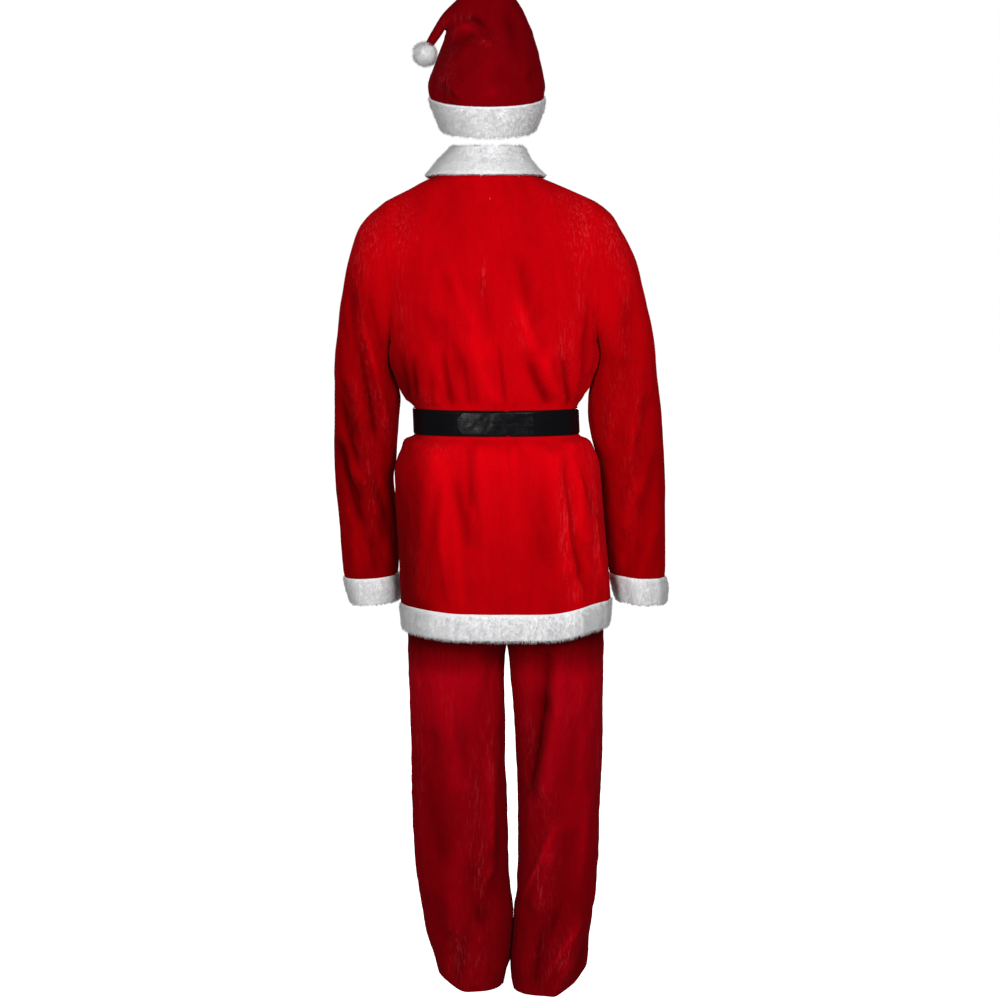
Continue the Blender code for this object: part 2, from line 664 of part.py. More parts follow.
def waist_line(off):
    """The jacket's own points round the waist, moved out; it starts and ends at the back."""
    back = torso_arc(BELT_Z, 1, "left", BACK_COLUMNS)
    front = torso_arc(BELT_Z, -1, "left", FRONT_COLUMNS)
    for arc in (back, front):
        arc[0, 0] = 0
    back[-1, 1] = 0
    half = np.concatenate([back, front[-2::-1]])
    right = half * np.array([-1, 1, 1])
    line = np.concatenate([right, half[-2::-1]])
    edge = unit(np.diff(line, axis=0))
    side = np.column_stack([-edge[:, 1], edge[:, 0], 0 * edge[:, 0]])
    if np.sum(side[:, :2] * line[:-1, :2]) < 0:
        side = -side
    # Moved out by the same distance from both edges at each corner.
    before, after = np.roll(side, 1, 0), side
    mitre = (before + after) / (1 + np.sum(before * after, 1, keepdims=True))
    mitre = np.concatenate([mitre, mitre[:1]])
    return line + off * mitre, mitre


def stretch(line, mitre, start, end):
    """Part of a line between two distances along it, with its corners kept."""
    along = np.concatenate([[0], np.cumsum(np.linalg.norm(np.diff(line, axis=0), axis=1))])
    inside = along[(along > start + 1) & (along < end - 1)]
    at = np.concatenate([[start], inside, [end]])
    pick = [np.stack([np.interp(at, along, v[:, k]) for k in range(3)], 1)
            for v in (line, mitre)]
    return pick


def belt():
    """The belt and, over its two ends at the back, the part that closes it."""
    h, t = BELT_HEIGHT / 2, BELT_THICK
    line, mitre = waist_line(BELT_OFF)
    twice = np.concatenate([line, line[1:12]])
    turns = np.concatenate([mitre, mitre[1:12]])
    length = np.linalg.norm(np.diff(line, axis=0), axis=1).sum()
    ring, out = stretch(twice, turns, 24.0, length + 18.0)
    up = np.tile([0, 0, 1.0], (len(ring), 1))
    strip("belt", ring, out, up, [(0, -h), (0, h), (t, h - 0.5), (t, -h + 0.5)],
          BLACK_VINYL, closed=False)
    line, mitre = waist_line(BELT_OFF + t + SEAM)
    twice = np.concatenate([line[-12:-1], line])
    turns = np.concatenate([mitre[-12:-1], mitre])
    before = np.linalg.norm(np.diff(line[-12:], axis=0), axis=1).sum()
    ring, out = stretch(twice, turns, before - TAB_TO_X, before - TAB_FROM_X)
    # The end that lies on the left is rounded.
    from_end = np.linalg.norm(ring - ring[0], axis=1)
    rounded = ring[0] + (ring[1] - ring[0]) * np.array([[0], [0.2], [0.5]])
    ring = np.concatenate([rounded, ring[1:]])
    out = np.concatenate([out[[0, 0, 0]], out[1:]])
    from_end = np.linalg.norm(ring - ring[0], axis=1)
    up = np.tile([0, 0, 1.0], (len(ring), 1))
    reach = h - 1.5 - 11 * np.clip(1 - from_end / 12, 0, 1) ** 2
    profile = np.array([[(0, -r), (0, r), (t, r), (t, -r)] for r in reach])
    strip("belt_tab", ring, out, up, profile, BLACK_VINYL, closed=False)


# ---- trousers ----------------------------------------------------------------------

def leg_arc(z, side, word, count, inset=0.0):
    """Half of a leg's section, from the crotch or inseam to the side seam."""
    outer, inner = between(LEG, f"outer_{word}", z), between(LEG, f"inner_{word}", z)
    d = between(LEG, "back" if side > 0 else "front", z)
    w, mid, g, p = (outer - inner) / 2 - inset, (outer + inner) / 2, SEAM / 2, 2.3
    d = d - inset
    least = math.asin((g / d) ** (p / 2))
    last = math.pi - least
    if mid - w < g:
        last = min(last, math.acos(-min(1.0, (mid - g) / w) ** (p / 2)) if mid > g
                   else math.pi / 2)
    # Above the crotch the columns close up towards the seam and not all along the row.
    short = math.degrees(math.pi - last)
    power = 1 + 9 * max(0.0, 1 - short / 60) ** 1.5
    share = np.linspace(1, 0, count + 1)
    a = math.pi * share - (math.pi - last) * share ** power
    a = np.clip(a, least, last)
    arc = oval(a, w, d, p) + np.array([mid, 0])
    arc[:, 0] = np.maximum(arc[:, 0], g)
    return np.column_stack([arc[:, 0], side * arc[:, 1], np.full(count + 1, float(z))]), mid


def hem_drape(p, word):
    """The trouser hem hangs lower at the back and inside than at the side."""
    q = p.copy()
    low = ease((-1330 - p[..., 2]) / 125)
    rise = 22 * ease((np.abs(p[..., 0]) - 76) / 60)
    q[..., 2] += low * (rise - 8 - (8 if word == "right" else 0))
    return q


def trousers():
    for hand, word in ((1, "left"), (-1, "right")):
        for side, where in ((1, "back"), (-1, "front")):
            rows, mids = zip(*[leg_arc(z, side, word, LEG_COLUMNS) for z in LEG_ROWS])
            p = np.array(rows)
            lining = np.array([leg_arc(z, side, word, LEG_COLUMNS, CLOTH)[0]
                               for z in LEG_ROWS])
            centre = np.array([(m, 0, z) for m, z in zip(mids, LEG_ROWS)])
            folds = {("back", "left"): LEG_BACK_FOLDS_LEFT,
                     ("back", "right"): mirrored(LEG_BACK_FOLDS_RIGHT)}.get(
                         (where, word), shifted(LEG_FRONT_FOLDS, 0 if hand > 0 else 30))
            crotch = sum(1 for z in LEG_ROWS if z < CROTCH_Z)
            edges = [(ALL, -1, 1), (slice(0, crotch), 0, 1), (slice(crotch, None), 0, 0),
                     (0, ALL, 2), (-1, ALL, 2)]
            weight = np.clip(np.abs(p[..., 1]) / 35, 0, 1)
            weight *= ease((-700 - p[..., 2]) / 100)
            rise = (fold_height(p, folds) * weight)[..., None]
            rise = rise * flatten(grid_normals(p, centre, False), edges)
            turn = np.array([hand, 1, 1])
            wall(f"trousers_{where}_{word}", (p + rise) * turn, (lining + rise) * turn,
                 DEEP_RED, finish=lambda q, w=word: hem_drape(q, w))
    a = np.linspace(0, 2 * math.pi, 37)[:-1]
    w, b, f = (float(between(LEG, k, -500)) for k in ("outer_left", "back", "front"))
    ring = oval(a, w, 1.0, 2.3)
    ring[:, 1] = np.where(ring[:, 1] > 0, ring[:, 1] * b, ring[:, 1] * f)
    ring = np.column_stack([ring, np.full(36, WAISTBAND_TOP)])
    up = np.tile([0, 0, 1.0], (36, 1))
    h = WAISTBAND_HEIGHT
    strip("trousers_waistband", ring, ring_sides(ring), up,
          [(0.3, 0), (0.3, -h), (-3.2, -h), (-3.2, 0)], DEEP_RED)


# ---- hat ---------------------------------------------------------------------------

def hat_tilt(q):
    q = q.copy()
    high = 1 - 0.75 * ease((q[..., 2] - 190) / 110)
    q[..., 2] -= HAT_TILT * high * (q[..., 1] + 12)
    return q


def hat_row(r, side, count):
    ox, oz, ix, iz, hd, cy = (between(HAT, k, r) for k in list(HAT)[1:])
    mid = np.array([(ox + ix) / 2, cy, (oz + iz) / 2])
    across = np.array([ox - ix, 0, oz - iz]) / 2
    p, g = 2.15, SEAM / 2
    lean = math.asin((g / hd) ** (p / 2))
    flat = spread(oval(np.linspace(lean, math.pi - lean, 120), np.linalg.norm(across), hd, p), count)
    lead = flat[:, :1] / np.linalg.norm(across)
    return mid + lead * across + side * flat[:, 1:] * np.array([0, 1.0, 0]), mid


def hat():
    rows = np.concatenate([HAT["row"][:8], np.arange(8, 15.1, 1.0)])
    for side, where, folds in ((1, "back", HAT_BACK_FOLDS), (-1, "front", HAT_FRONT_FOLDS)):
        grid, mids = zip(*[hat_row(r, side, HAT_COLUMNS) for r in rows])
        p, centre = np.array(grid), np.array(mids)
        edges = [(ALL, 0, 1), (ALL, -1, 1), (0, ALL, 2)]

        def normals(q):
            return flatten(grid_normals(q, centre, False), edges)

        weight = np.clip(np.abs(p[..., 1] - centre[:, None, 1]) / 30, 0, 1)
        weight *= (1 - ease((np.arange(len(p)) - 6.0) / 3))[:, None]
        p = p + (fold_height(p, folds) * weight)[..., None] * normals(p)
        wall(f"hat_{where}", p, p - HAT_CLOTH * normals(p), DEEP_RED, finish=hat_tilt)
    ring = np.concatenate([hat_row(0, 1, 15)[0], hat_row(0, -1, 15)[0][::-1]])
    ring = spread(np.concatenate([ring, ring[:1]]), 30)[:-1]
    ring[:, 2] -= SEAM
    out = ring_sides(ring)
    up = np.tile([0, 0, 1.0], (len(ring), 1))
    h = HAT_BAND_HEIGHT
    strip("hat_band", ring, out, up,
          [(-7, -0.1 * h), (-2, 0), (2, -0.05 * h), (-2, -0.35 * h), (-10.5, -0.7 * h),
           (-17, -0.95 * h), (-21, -h), (-25, -0.9 * h), (-15, -0.4 * h)],
          WHITE_FUR, finish=hat_tilt)
    pompom()


def pompom():
    """A ball of fur locks: each face of the core rises into one three-sided lock."""
    last, mid = hat_row(15, 1, 6)
    tip = hat_tilt(np.array([mid]))[0]
    centre = tip + np.array([8.5, 0.0, 0.5 - POMPOM_CORE])
    b = bmesh.new()
    bmesh.ops.create_icosphere(b, subdivisions=2, radius=1.0)
    core = np.array([v.co[:] for v in b.verts])
    faces = [[v.index for v in f.verts] for f in b.faces]
    b.free()
    points = [list(v) for v in core * POMPOM_CORE]
    tris = []
    towards = unit(tip - centre)
    for i, f in enumerate(faces):
        corner = core[f] * POMPOM_CORE
        middle = corner.mean(0)
        way = unit(middle)
        if way @ towards > 0.4:
            tris.append(f)
            continue
        at = len(points)
        for c in corner:
            points.append(list(middle + 0.72 * (c - middle) + 0.25 * way))
        drift = np.array([math.sin(i * 2.4), math.cos(i * 1.7), math.sin(i * 0.9 + 1)])
        top = unit(way + 0.16 * drift) * (POMPOM_REACH - 2.2 * (i * 0.618 % 1))
        points.append(list(top))
        for k in range(3):
            m = (k + 1) % 3
            tris += [(f[k], f[m], at + m), (f[k], at + m, at + k), (at + k, at + m, at + 3)]
    solid("hat_pompom", np.array(points) + centre, tris, WHITE_FUR)


for ob in list(bpy.data.objects):
    bpy.data.objects.remove(ob, do_unlink=True)
jacket()
trousers()
hat()
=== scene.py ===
"""Santa suit as worn by a standing figure: hat, belted jacket and trousers.

Lays fine velvet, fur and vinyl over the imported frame. Sizes in the tables are in
millimetres; finished meshes are in metres, +Z up, the front towards -Y.
"""
import functools
import math

import bmesh
import bpy
import numpy as np
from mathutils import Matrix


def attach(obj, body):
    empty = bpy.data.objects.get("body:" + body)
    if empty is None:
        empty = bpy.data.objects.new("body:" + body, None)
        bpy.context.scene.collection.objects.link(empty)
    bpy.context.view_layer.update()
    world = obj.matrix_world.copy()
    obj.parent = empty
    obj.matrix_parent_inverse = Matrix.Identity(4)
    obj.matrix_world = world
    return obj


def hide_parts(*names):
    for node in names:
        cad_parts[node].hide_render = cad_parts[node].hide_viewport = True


bl_info = {
    "name": "Santa suit",
    "version": (1, 0, 0),
    "blender": (4, 5, 0),
    "location": "3D View > Sidebar > Santa suit",
    "description": "Makes the hat, belted jacket and trousers of a fur-trimmed velvet suit",
    "category": "Add Mesh",
}

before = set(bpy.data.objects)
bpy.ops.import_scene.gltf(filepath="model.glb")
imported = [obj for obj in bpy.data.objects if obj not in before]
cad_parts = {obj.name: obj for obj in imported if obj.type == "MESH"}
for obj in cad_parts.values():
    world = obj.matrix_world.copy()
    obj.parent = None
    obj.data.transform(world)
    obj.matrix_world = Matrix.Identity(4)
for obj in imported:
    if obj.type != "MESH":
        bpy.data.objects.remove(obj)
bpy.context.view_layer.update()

MM = 0.001
ALL = slice(None)
# Driving sizes, in millimetres, as in the part's own source.
SEAM = 0.14            # space between two pieces that are sewn together
HALF_SEAM = SEAM / 2
SHOULDER_X = 185.0     # plane of the armhole seam
SHOULDER_Z = -44.0     # shoulder tip
ARMPIT_Z = -295.0
ARMHOLE_DEPTH = 74.0   # half the armhole, front to back
NECK_HALF_WIDTH = 90.0
NECK_BACK, NECK_FRONT, NECK_DROP = 74.0, 80.0, 40.0   # depths, and the front's drop
JACKET_HEM_Z = -768.0
HEM_BAND_HEIGHT = 52.0
FUR = 13.0             # thickness of the fur bands
BELT_HEIGHT, BELT_THICK, BELT_OFF = 45.0, 2.4, 0.36
BELT_Z = -436.0
TAB_FROM_X, TAB_TO_X = -84.0, 50.0
BELT_START, BELT_END = 24.0, 18.0   # its two ends, past the middle of the back
CUFF_HEIGHT = 50.0
WAISTBAND_TOP, WAISTBAND_HEIGHT = -470.0, 30.0
CROTCH_Z = -840.0
HAT_TILT = 0.225       # the hat's edge drops this much per unit towards the back
HAT_BAND_HEIGHT = 60.0
POMPOM_CORE = 13.0     # radius of the pompom without its locks
# Panels are made for a side, 1 for the back, and for a hand, 1 for the wearer's left.
SIDES = {1: "back", -1: "front"}
HANDS = {1: "left", -1: "right"}
NECK_SHARE = {1: 7 / 13, -1: 0.5}   # the neck's share of a jacket panel's upper edge
# Each section is an oval, squarer with a higher power.
TORSO_POWER, SLEEVE_POWER, LEG_POWER, HAT_POWER = 2.35, 2.25, 2.3, 2.15
# Widths at the widest place, which set how many columns the grids have.
PANEL_WIDTH, SLEEVE_GIRTH, LEG_WIDTH, HAT_WIDTH = 290.0, 440.0, 250.0, 300.0
# Points along each band and strap.
HEM_POINTS, CUFF_POINTS, COLLAR_POINTS, HAT_BAND_POINTS = 250, 90, 190, 180
BELT_POINTS, TAB_POINTS = 230, 60
HEM_LOCKS = 3.5        # the hem band's locks reach this far below its backing
LOCK_ROOM = 2.8        # the backing stays this far inside the band, so the locks fill it
UNDERARM = 22.0        # from a side seam to the crest of the fold under the arm
ROUNDING_PASSES = 60   # how often the line of neck and shoulder is smoothed
LOCK_ROOT = 0.0012     # metres of each lock that stand in the backing
MERGE = 2e-5           # metres between two points that count as one


def table(names, *rows):
    """A table with named columns, as arrays sorted by the first column."""
    rows = sorted(rows)
    return {n: np.array([r[i] for r in rows], float) for i, n in enumerate(names.split())}


# The jacket's half widths to the left and right and its depths to the back and front.
TORSO = table(
    "z left right back front",
    (-295, 185, 185, 127, 124),
    (-306, 186.2, 186.2, 126, 124.5),
    (-319, 186.8, 186.4, 125, 125),
    (-330, 185.8, 184.6, 124, 126),
    (-343, 183, 181, 122, 125),
    (-354, 178.5, 175.8, 120, 124),
    (-366, 174.5, 171.3, 118, 123),
    (-378, 170.5, 166.2, 116, 121),
    (-386, 167, 161.5, 114, 119),
    (-393, 163, 157, 112, 117),
    (-400, 158.5, 152, 109, 114),
    (-411, 146.5, 146.5, 104, 109),
    (-461, 146.5, 146.5, 104, 109),
    (-472, 167, 165, 120, 123),
    (-486, 172.5, 173, 131, 129),
    (-500, 180, 178, 136, 132),
    (-512, 185, 180.5, 139, 133),
    (-530, 188.3, 181.6, 142, 134),
    (-580, 189, 182.7, 146, 137),
    (-680, 187.5, 186.5, 150, 140),
    (-768, 188, 188, 153, 142),
)
# Sections from the armhole down to the cuff; outer and inner are the ends of each.
SLEEVE = table(
    "row outer_left outer_right outer_z inner_left inner_right inner_z half_depth centre_y",
    (1, 199, 201, -55, 186.8, 186.8, -299, 75, 0),
    (2, 217, 217, -70, 187.6, 187.6, -303, 76, -1),
    (3, 235, 230, -93, 188.2, 188.2, -308, 77, -2),
    (4, 247, 245, -121, 188.5, 188.5, -313, 77, -3),
    (5, 256, 258, -152, 188.5, 188.4, -318, 76, -4),
    (6, 265, 267, -190, 188.2, 188, -324, 75, -6),
    (7, 274, 275.5, -232, 187.2, 186.5, -332, 74, -8),
    (8, 279.5, 284.5, -275, 185.2, 183.5, -341, 73, -11),
    (9, 286, 290, -318, 180.8, 178, -354, 72, -15),
    (10, 288.5, 292, -358, 175.3, 172.5, -372, 71, -19),
    (11, 289.5, 296, -395, 170.5, 168, -395, 70, -24),
    (12, 291.5, 299, -430, 174.5, 166, -430, 69, -30),
    (13, 295.5, 300.5, -480, 181.3, 172.5, -480, 69, -36),
    (14, 297, 301, -512, 185.5, 180.5, -512, 68, -41),
    (15, 298.5, 300, -548, 192.5, 183, -548, 67, -45),
    (16, 296.5, 297.5, -610, 190, 184.5, -610, 65, -49),
    (17, 295, 294.5, -672, 190.5, 187.5, -672, 63, -52),
    (18, 294, 292, -719, 194, 190, -719, 61, -55),
)
# outer_left and outer_right are the sides of the two legs; inner is how far each leg's
# loop runs past the middle before the crotch seam cuts it off.
LEG = table(
    "z outer_left outer_right inner_left inner_right back front",
    (-500, 150, 150, -150, -150, 104, 108),
    (-560, 162, 162, -162, -162, 114, 114),
    (-620, 171, 171, -171, -171, 122, 118),
    (-680, 175, 174, -155, -155, 124, 117),
    (-730, 176, 175, -122, -122, 122, 114),
    (-785, 177.5, 175, -56, -56, 117, 109),
    (-816, 178, 175, -18, -18, 112, 105),
    (-840, 178.2, 175, 0.18, 0.18, 108, 102),
    (-870, 178, 174.5, 4.5, 5, 103, 99),
    (-905, 177.5, 174, 6, 6.5, 100, 97),
    (-950, 177, 172, 6, 10, 97, 95),
    (-1050, 177, 169, 6, 13.5, 94, 94),
    (-1140, 176, 164, 3, 16, 92, 93),
    (-1220, 173, 161.5, 2, 16, 91, 92),
    (-1264, 171, 157.5, 3, 12, 90, 90),
    (-1307, 168, 150, 1.5, 6, 89, 89),
    (-1330, 165.5, 144, 0.18, 0.18, 88, 88),
    (-1372, 157, 140, 0.18, 0.18, 85, 85),
    (-1412, 142, 141, 0.18, 0.18, 82, 82),
    (-1430, 137, 141, 5, 3, 80, 80),
    (-1455, 129, 128, 11, 7, 76, 76),
)
# Sections from the hat's edge round its fold to the tail's tip.
HAT = table(
    "row outer_x outer_z inner_x inner_z half_depth centre_y",
    (0, -102, 141, 102, 141, 107, -12),
    (1, -104, 155, 104, 157, 108, -12),
    (2, -101, 178, 101, 173, 106, -12),
    (3, -96, 203, 94, 191, 101, -12),
    (4, -89, 229, 87, 210, 93, -12),
    (5, -81, 254, 81, 228, 84, -12),
    (6, -70, 282, 77, 239, 73, -12),
    (7, -54, 308, 75, 245, 62, -12),
    (8, -29, 330, 73.5, 249, 52, -12),
    (9, 3, 341, 72.5, 252.5, 43, -12),
    (10, 33, 331, 72.5, 255.5, 35, -12),
    (11, 56, 308, 74, 257, 28, -12),
    (12, 77, 287, 76, 255, 22, -11),
    (13, 91, 266, 79, 250, 17, -9),
    (14, 101, 249, 84.5, 242, 13, -7),
    (15, 108.5, 235, 94, 230, 9.5, -6),
)
# The figure stands with its weight on one leg, so its middle line drifts sideways.
SWAY = table(
    "z x",
    (400, 1.8), (145, 2.5), (116, -0.5), (60, -0.5), (45, 1.8), (23, 6), (2, 4.5),
    (-12, 1.5), (-25, -2), (-47, -4.4), (-80, -5), (-112, -5.9), (-155, -6.8),
    (-256, -9.9), (-391, -13), (-470, -16), (-553, -21.6),
    (-660, -27), (-742, -32.4), (-860, -33.7), (-1000, -37), (-1220, -39), (-1264, -41),
    (-1307, -45), (-1330, -46.8), (-1350, -46), (-1393, -42), (-1430, -39), (-1500, -38),
)
# Folds run from point 0 to point 1 on the back or front view; width is half the
# fold's and height is out of the cloth, below zero for a trough.
FOLD = "x0 z0 x1 z1 width height"
JACKET_BACK_FOLDS = table(
    FOLD,
    (95, -262, 66, -330, 17, -7), (66, -330, 84, -408, 15, -6), (52, -345, 38, -408, 13, -6),
    (74, -163, 14, -312, 20, 7), (86, -184, 52, -269, 15, -6), (16, -190, 8, -278, 14, -4),
    (-55, -150, -78, -243, 16, -6), (-42, -226, -72, -306, 16, 7),
    (-63, -323, -98, -400, 15, -8), (-84, -330, -118, -400, 14, 6),
    (-128, -330, -130, -400, 15, -6), (54, -484, 58, -563, 15, -8),
    (80, -500, 62, -640, 17, -7), (34, -490, 28, -640, 18, 6), (112, -500, 152, -740, 22, 8),
    (-100, -500, -112, -690, 17, 9), (-120, -520, -132, -700, 13, -6),
    (-134, -480, -150, -640, 14, 7), (-60, -490, -74, -660, 18, -7),
    (-110, -690, -130, -760, 17, 7), (-20, -500, -30, -720, 16, 4),
)
JACKET_FRONT_FOLDS = table(
    FOLD,
    (-70, -200, -30, -330, 20, 7), (-100, -270, -80, -400, 16, -7), (60, -180, 40, -300, 20, 6),
    (90, -300, 70, -405, 16, -7), (40, -330, 34, -405, 14, 6), (-40, -350, -34, -405, 13, -5),
    (-60, -484, -66, -640, 17, -7), (-96, -490, -112, -720, 20, 8),
    (70, -484, 60, -620, 16, -7), (104, -490, 124, -730, 20, 8), (34, -500, 30, -700, 18, 5),
)
SLEEVE_FOLDS = table(
    FOLD,
    (252, -216, 237, -310, 14, -6), (237, -310, 219, -445, 15, -6),
    (276, -378, 258, -452, 13, -7), (262, -452, 249, -502, 14, -5),
    (288, -484, 262, -570, 14, -7), (262, -570, 244, -640, 14, -5),
    (246, -555, 206, -640, 13, -7), (262, -520, 222, -600, 13, 6),
    (252, -360, 232, -430, 14, 6), (226, -372, 196, -440, 13, 6), (275, -600, 240, -680, 14, 6),
    (225, -660, 205, -700, 12, -5),
)
LEG_BACK_FOLDS_LEFT = table(
    FOLD,
    (36, -1040, 36, -1200, 14, 5), (64, -1238, 56, -1325, 12, -8),
    (36, -1267, 54, -1325, 12, -8), (110, -900, 90, -1080, 22, 6),
    (140, -1000, 120, -1200, 20, -6), (90, -1200, 110, -1340, 20, 7),
    (140, -1300, 110, -1400, 16, -6), (60, -1360, 80, -1440, 16, 6),
    (30, -900, 60, -1000, 18, -5),
)
LEG_BACK_FOLDS_RIGHT = table(
    FOLD,
    (-72, -856, -64, -942, 15, -10), (-64, -942, -34, -1095, 16, -10),
    (-94, -860, -86, -950, 14, 7), (-86, -950, -62, -1090, 15, 7),
    (-82, -1160, -69, -1217, 14, 8), (-69, -1217, -42, -1300, 14, 8),
    (-110, -1180, -90, -1290, 16, -6), (-113, -1337, -100, -1414, 13, 8),
    (-100, -1414, -80, -1450, 12, 7), (-60, -1330, -50, -1430, 15, -6),
    (-130, -1000, -120, -1160, 20, 5),
)
LEG_FRONT_FOLDS = table(
    FOLD,
    (90, -900, 80, -1060, 20, 6), (50, -1100, 120, -1150, 16, -6),
    (50, -1170, 130, -1220, 16, 6), (60, -1260, 120, -1300, 15, -6),
    (80, -1330, 110, -1430, 16, 6), (130, -920, 120, -1080, 18, -6),
)
HAT_BACK_FOLDS = table(
    FOLD,
    (86, 158, 66, 142, 12, -5), (84, 226, 30, 262, 12, -6), (30, 262, 2, 256, 11, -6),
    (0, 190, -40, 240, 22, 4), (-60, 300, -30, 200, 16, -4),
)
HAT_FRONT_FOLDS = table(
    FOLD,
    (80, 226, 20, 260, 13, -6), (-20, 180, -50, 280, 20, 4),
)
# Finer creases, pressed in on top of the large folds. Each fades out at both ends, and
# bow is how far its middle stands off its straight line.
CREASE = "x0 z0 x1 z1 width height bow"
BACK_CREASES = table(
    CREASE,
    (91, -305, 77, -430, 4.5, -3.4, -2), (53, -340, 43, -430, 4, -2.0, 0),
    (-8, -292, -20, -425, 4, -2.4, 0), (-60, -322, -110, -425, 6, -4.0, 3),
    (-125, -325, -134, -425, 4.5, -3.4, 0), (143, -312, 140, -410, 4.5, -3.4, 0),
    (166, -300, 150, -420, 7, -2.6, 0), (-168, -218, -154, -390, 7, -2.2, 0),
    (68, -195, -8, -420, 12, 1.8, 4), (-46, -222, -66, -310, 9, 1.8, 0),
    (112, -330, 110, -425, 6, -1.8, 0), (-96, -300, -84, -360, 8, 1.4, 0),
    (58, -150, 36, -235, 8, -1.0, 0), (-52, -140, -64, -235, 9, -1.0, 0),
    (20, -170, 6, -290, 7, -0.8, 0), (124, -220, 98, -300, 9, -1.0, 0),
    (52, -455, 54, -580, 4, -2.6, 0), (79, -525, 58, -655, 7, -2.8, 2),
    (49, -545, 34, -625, 5, -1.4, 0), (-20, -455, -20, -560, 4, -1.8, 0),
    (102, -530, 139, -735, 6, -2.8, 0), (90, -500, 110, -715, 10, 2.0, 0),
    (117, -640, 109, -755, 6, -2.2, 0), (82, -545, 80, -765, 9, 1.8, 0),
    (-109, -505, -127, -750, 3.6, 3.4, 4), (-139, -515, -136, -640, 4, 2.6, 0),
    (-164, -570, -176, -755, 4, 3.0, 2), (-134, -480, -180, -625, 5, -2.8, 6),
    (-148, -462, -178, -575, 4, 2.8, 5), (-131, -620, -138, -760, 6, -1.8, 0),
    (-70, -520, -76, -700, 10, -1.0, 0),
)
FRONT_CREASES = table(
    CREASE,
    (62, -290, 50, -430, 5, -3.0, -2), (-64, -300, -50, -430, 5, -3.0, 2),
    (104, -316, 114, -425, 5, -3.0, 0), (-108, -320, -120, -425, 5, -2.8, 0),
    (26, -330, 22, -425, 4, -2.0, 0), (80, -200, 46, -290, 9, 1.6, 3),
    (-86, -190, -56, -290, 9, 1.6, -3), (-42, -455, -48, -590, 5, -2.6, 0),
    (48, -455, 52, -600, 5, -2.6, 0), (-86, -480, -104, -680, 5, 3.0, 3),
    (92, -480, 112, -700, 5, 3.0, -3), (132, -480, 154, -680, 6, -2.6, 0),
    (-130, -480, -150, -690, 6, -2.6, 0), (70, -560, 76, -750, 9, 1.6, 0),
)
SLEEVE_CREASES = table(
    CREASE,
    (257, -195, 245, -320, 5, -1.8, 0), (241, -305, 215, -475, 5, -3.8, -3),
    (281, -385, 246, -522, 5, -3.4, 3), (291, -460, 245, -630, 6, -3.8, 4),
    (234, -530, 184, -675, 8, -3.0, 0), (239, -245, 193, -455, 6, 2.8, -6),
    (214, -340, 196, -430, 12, -2.4, 0), (219, -205, 195, -310, 5, -2.0, 0),
    (240, -640, 232, -715, 6, -1.8, 0), (268, -630, 262, -715, 7, 1.8, 0),
    (214, -655, 210, -715, 6, 1.8, 0),
)
SLEEVE_CREASES_RIGHT = table(
    CREASE,
    (258, -410, 220, -560, 7, 1.8, 0), (259, -505, 212, -665, 8, 1.6, 0),
    (214, -300, 204, -390, 10, -1.6, 0), (240, -480, 206, -610, 8, -1.6, 0),
    (236, -200, 228, -300, 9, -1.2, 0), (246, -640, 238, -715, 6, -1.6, 0),
    (216, -650, 212, -715, 6, 1.6, 0),
)
LEG_CREASES = table(
    CREASE,
    (28, -1215, 58, -1312, 4, 2.0, 0), (67, -1260, 58, -1312, 4, 1.8, 0),
    (158, -1030, 120, -1240, 14, -1.6, 0), (34, -1040, 34, -1200, 6, 1.8, 0),
    (96, -930, 72, -1080, 9, -1.4, 0), (84, -1340, 96, -1450, 7, -2.0, 0),
    (40, -1360, 52, -1450, 7, 1.8, 0), (116, -1370, 108, -1455, 7, 1.8, 0),
    (20, -1110, 24, -1300, 8, -1.6, 0),
)
LEG_CREASES_RIGHT = table(
    CREASE,
    (75, -825, 20, -1125, 4, -3.4, 8), (58, -840, 30, -1075, 14, -1.6, 6),
    (77, -1165, 20, -1295, 4, 3.2, 3), (90, -1290, 62, -1360, 7, -2.0, 0),
    (113, -1340, 68, -1420, 5, 2.4, 0), (138, -1090, 126, -1270, 9, 1.6, 0),
    (120, -950, 108, -1100, 9, -1.4, 0), (50, -1340, 44, -1450, 7, -2.0, 0),
    (134, -1370, 120, -1450, 7, -1.8, 0),
)
HAT_CREASES = table(
    CREASE,
    (76, 264, 0, 266, 5, -5.6, -15), (68, 252, 10, 254, 7, 3.8, -13),
    (96, 180, 46, 150, 5, -2.4, 0), (20, 160, -30, 168, 9, 1.2, 0),
    (-30, 300, -58, 210, 9, -1.6, 0), (14, 250, -10, 236, 5, 1.6, 0),
    (-70, 175, -90, 205, 8, -1.4, 0),
)
# Places of painted sheen, where light strokes show as if the pile caught the light;
# half_x and half_z are how far they reach.
PATCH = "x z half_x half_z strength"
BACK_PAINTED_SHEEN = table(
    PATCH,
    (-160, -84, 26, 50, 0.9), (-126, -38, 34, 12, 0.35), (-152, -200, 10, 60, 0.5),
    (-124, -300, 14, 44, 0.6), (156, -80, 26, 46, 0.5), (160, -240, 12, 100, 0.3),
    (16, -178, 5, 34, 0.8), (-50, -262, 18, 30, 0.3), (126, -398, 22, 14, 0.5),
    (-106, -610, 6, 80, 1.0), (-125, -600, 5, 60, 0.6), (-164, -600, 9, 120, 0.8),
    (110, -480, 30, 26, 0.3), (150, -690, 16, 50, 0.3), (-120, -735, 12, 24, 0.5),
)
FRONT_PAINTED_SHEEN = table(
    PATCH,
    (152, -84, 26, 50, 0.7), (-152, -80, 26, 50, 0.6), (130, -280, 12, 50, 0.5),
    (-120, -300, 14, 50, 0.4), (104, -610, 7, 90, 0.8), (-110, -600, 7, 100, 0.7),
)
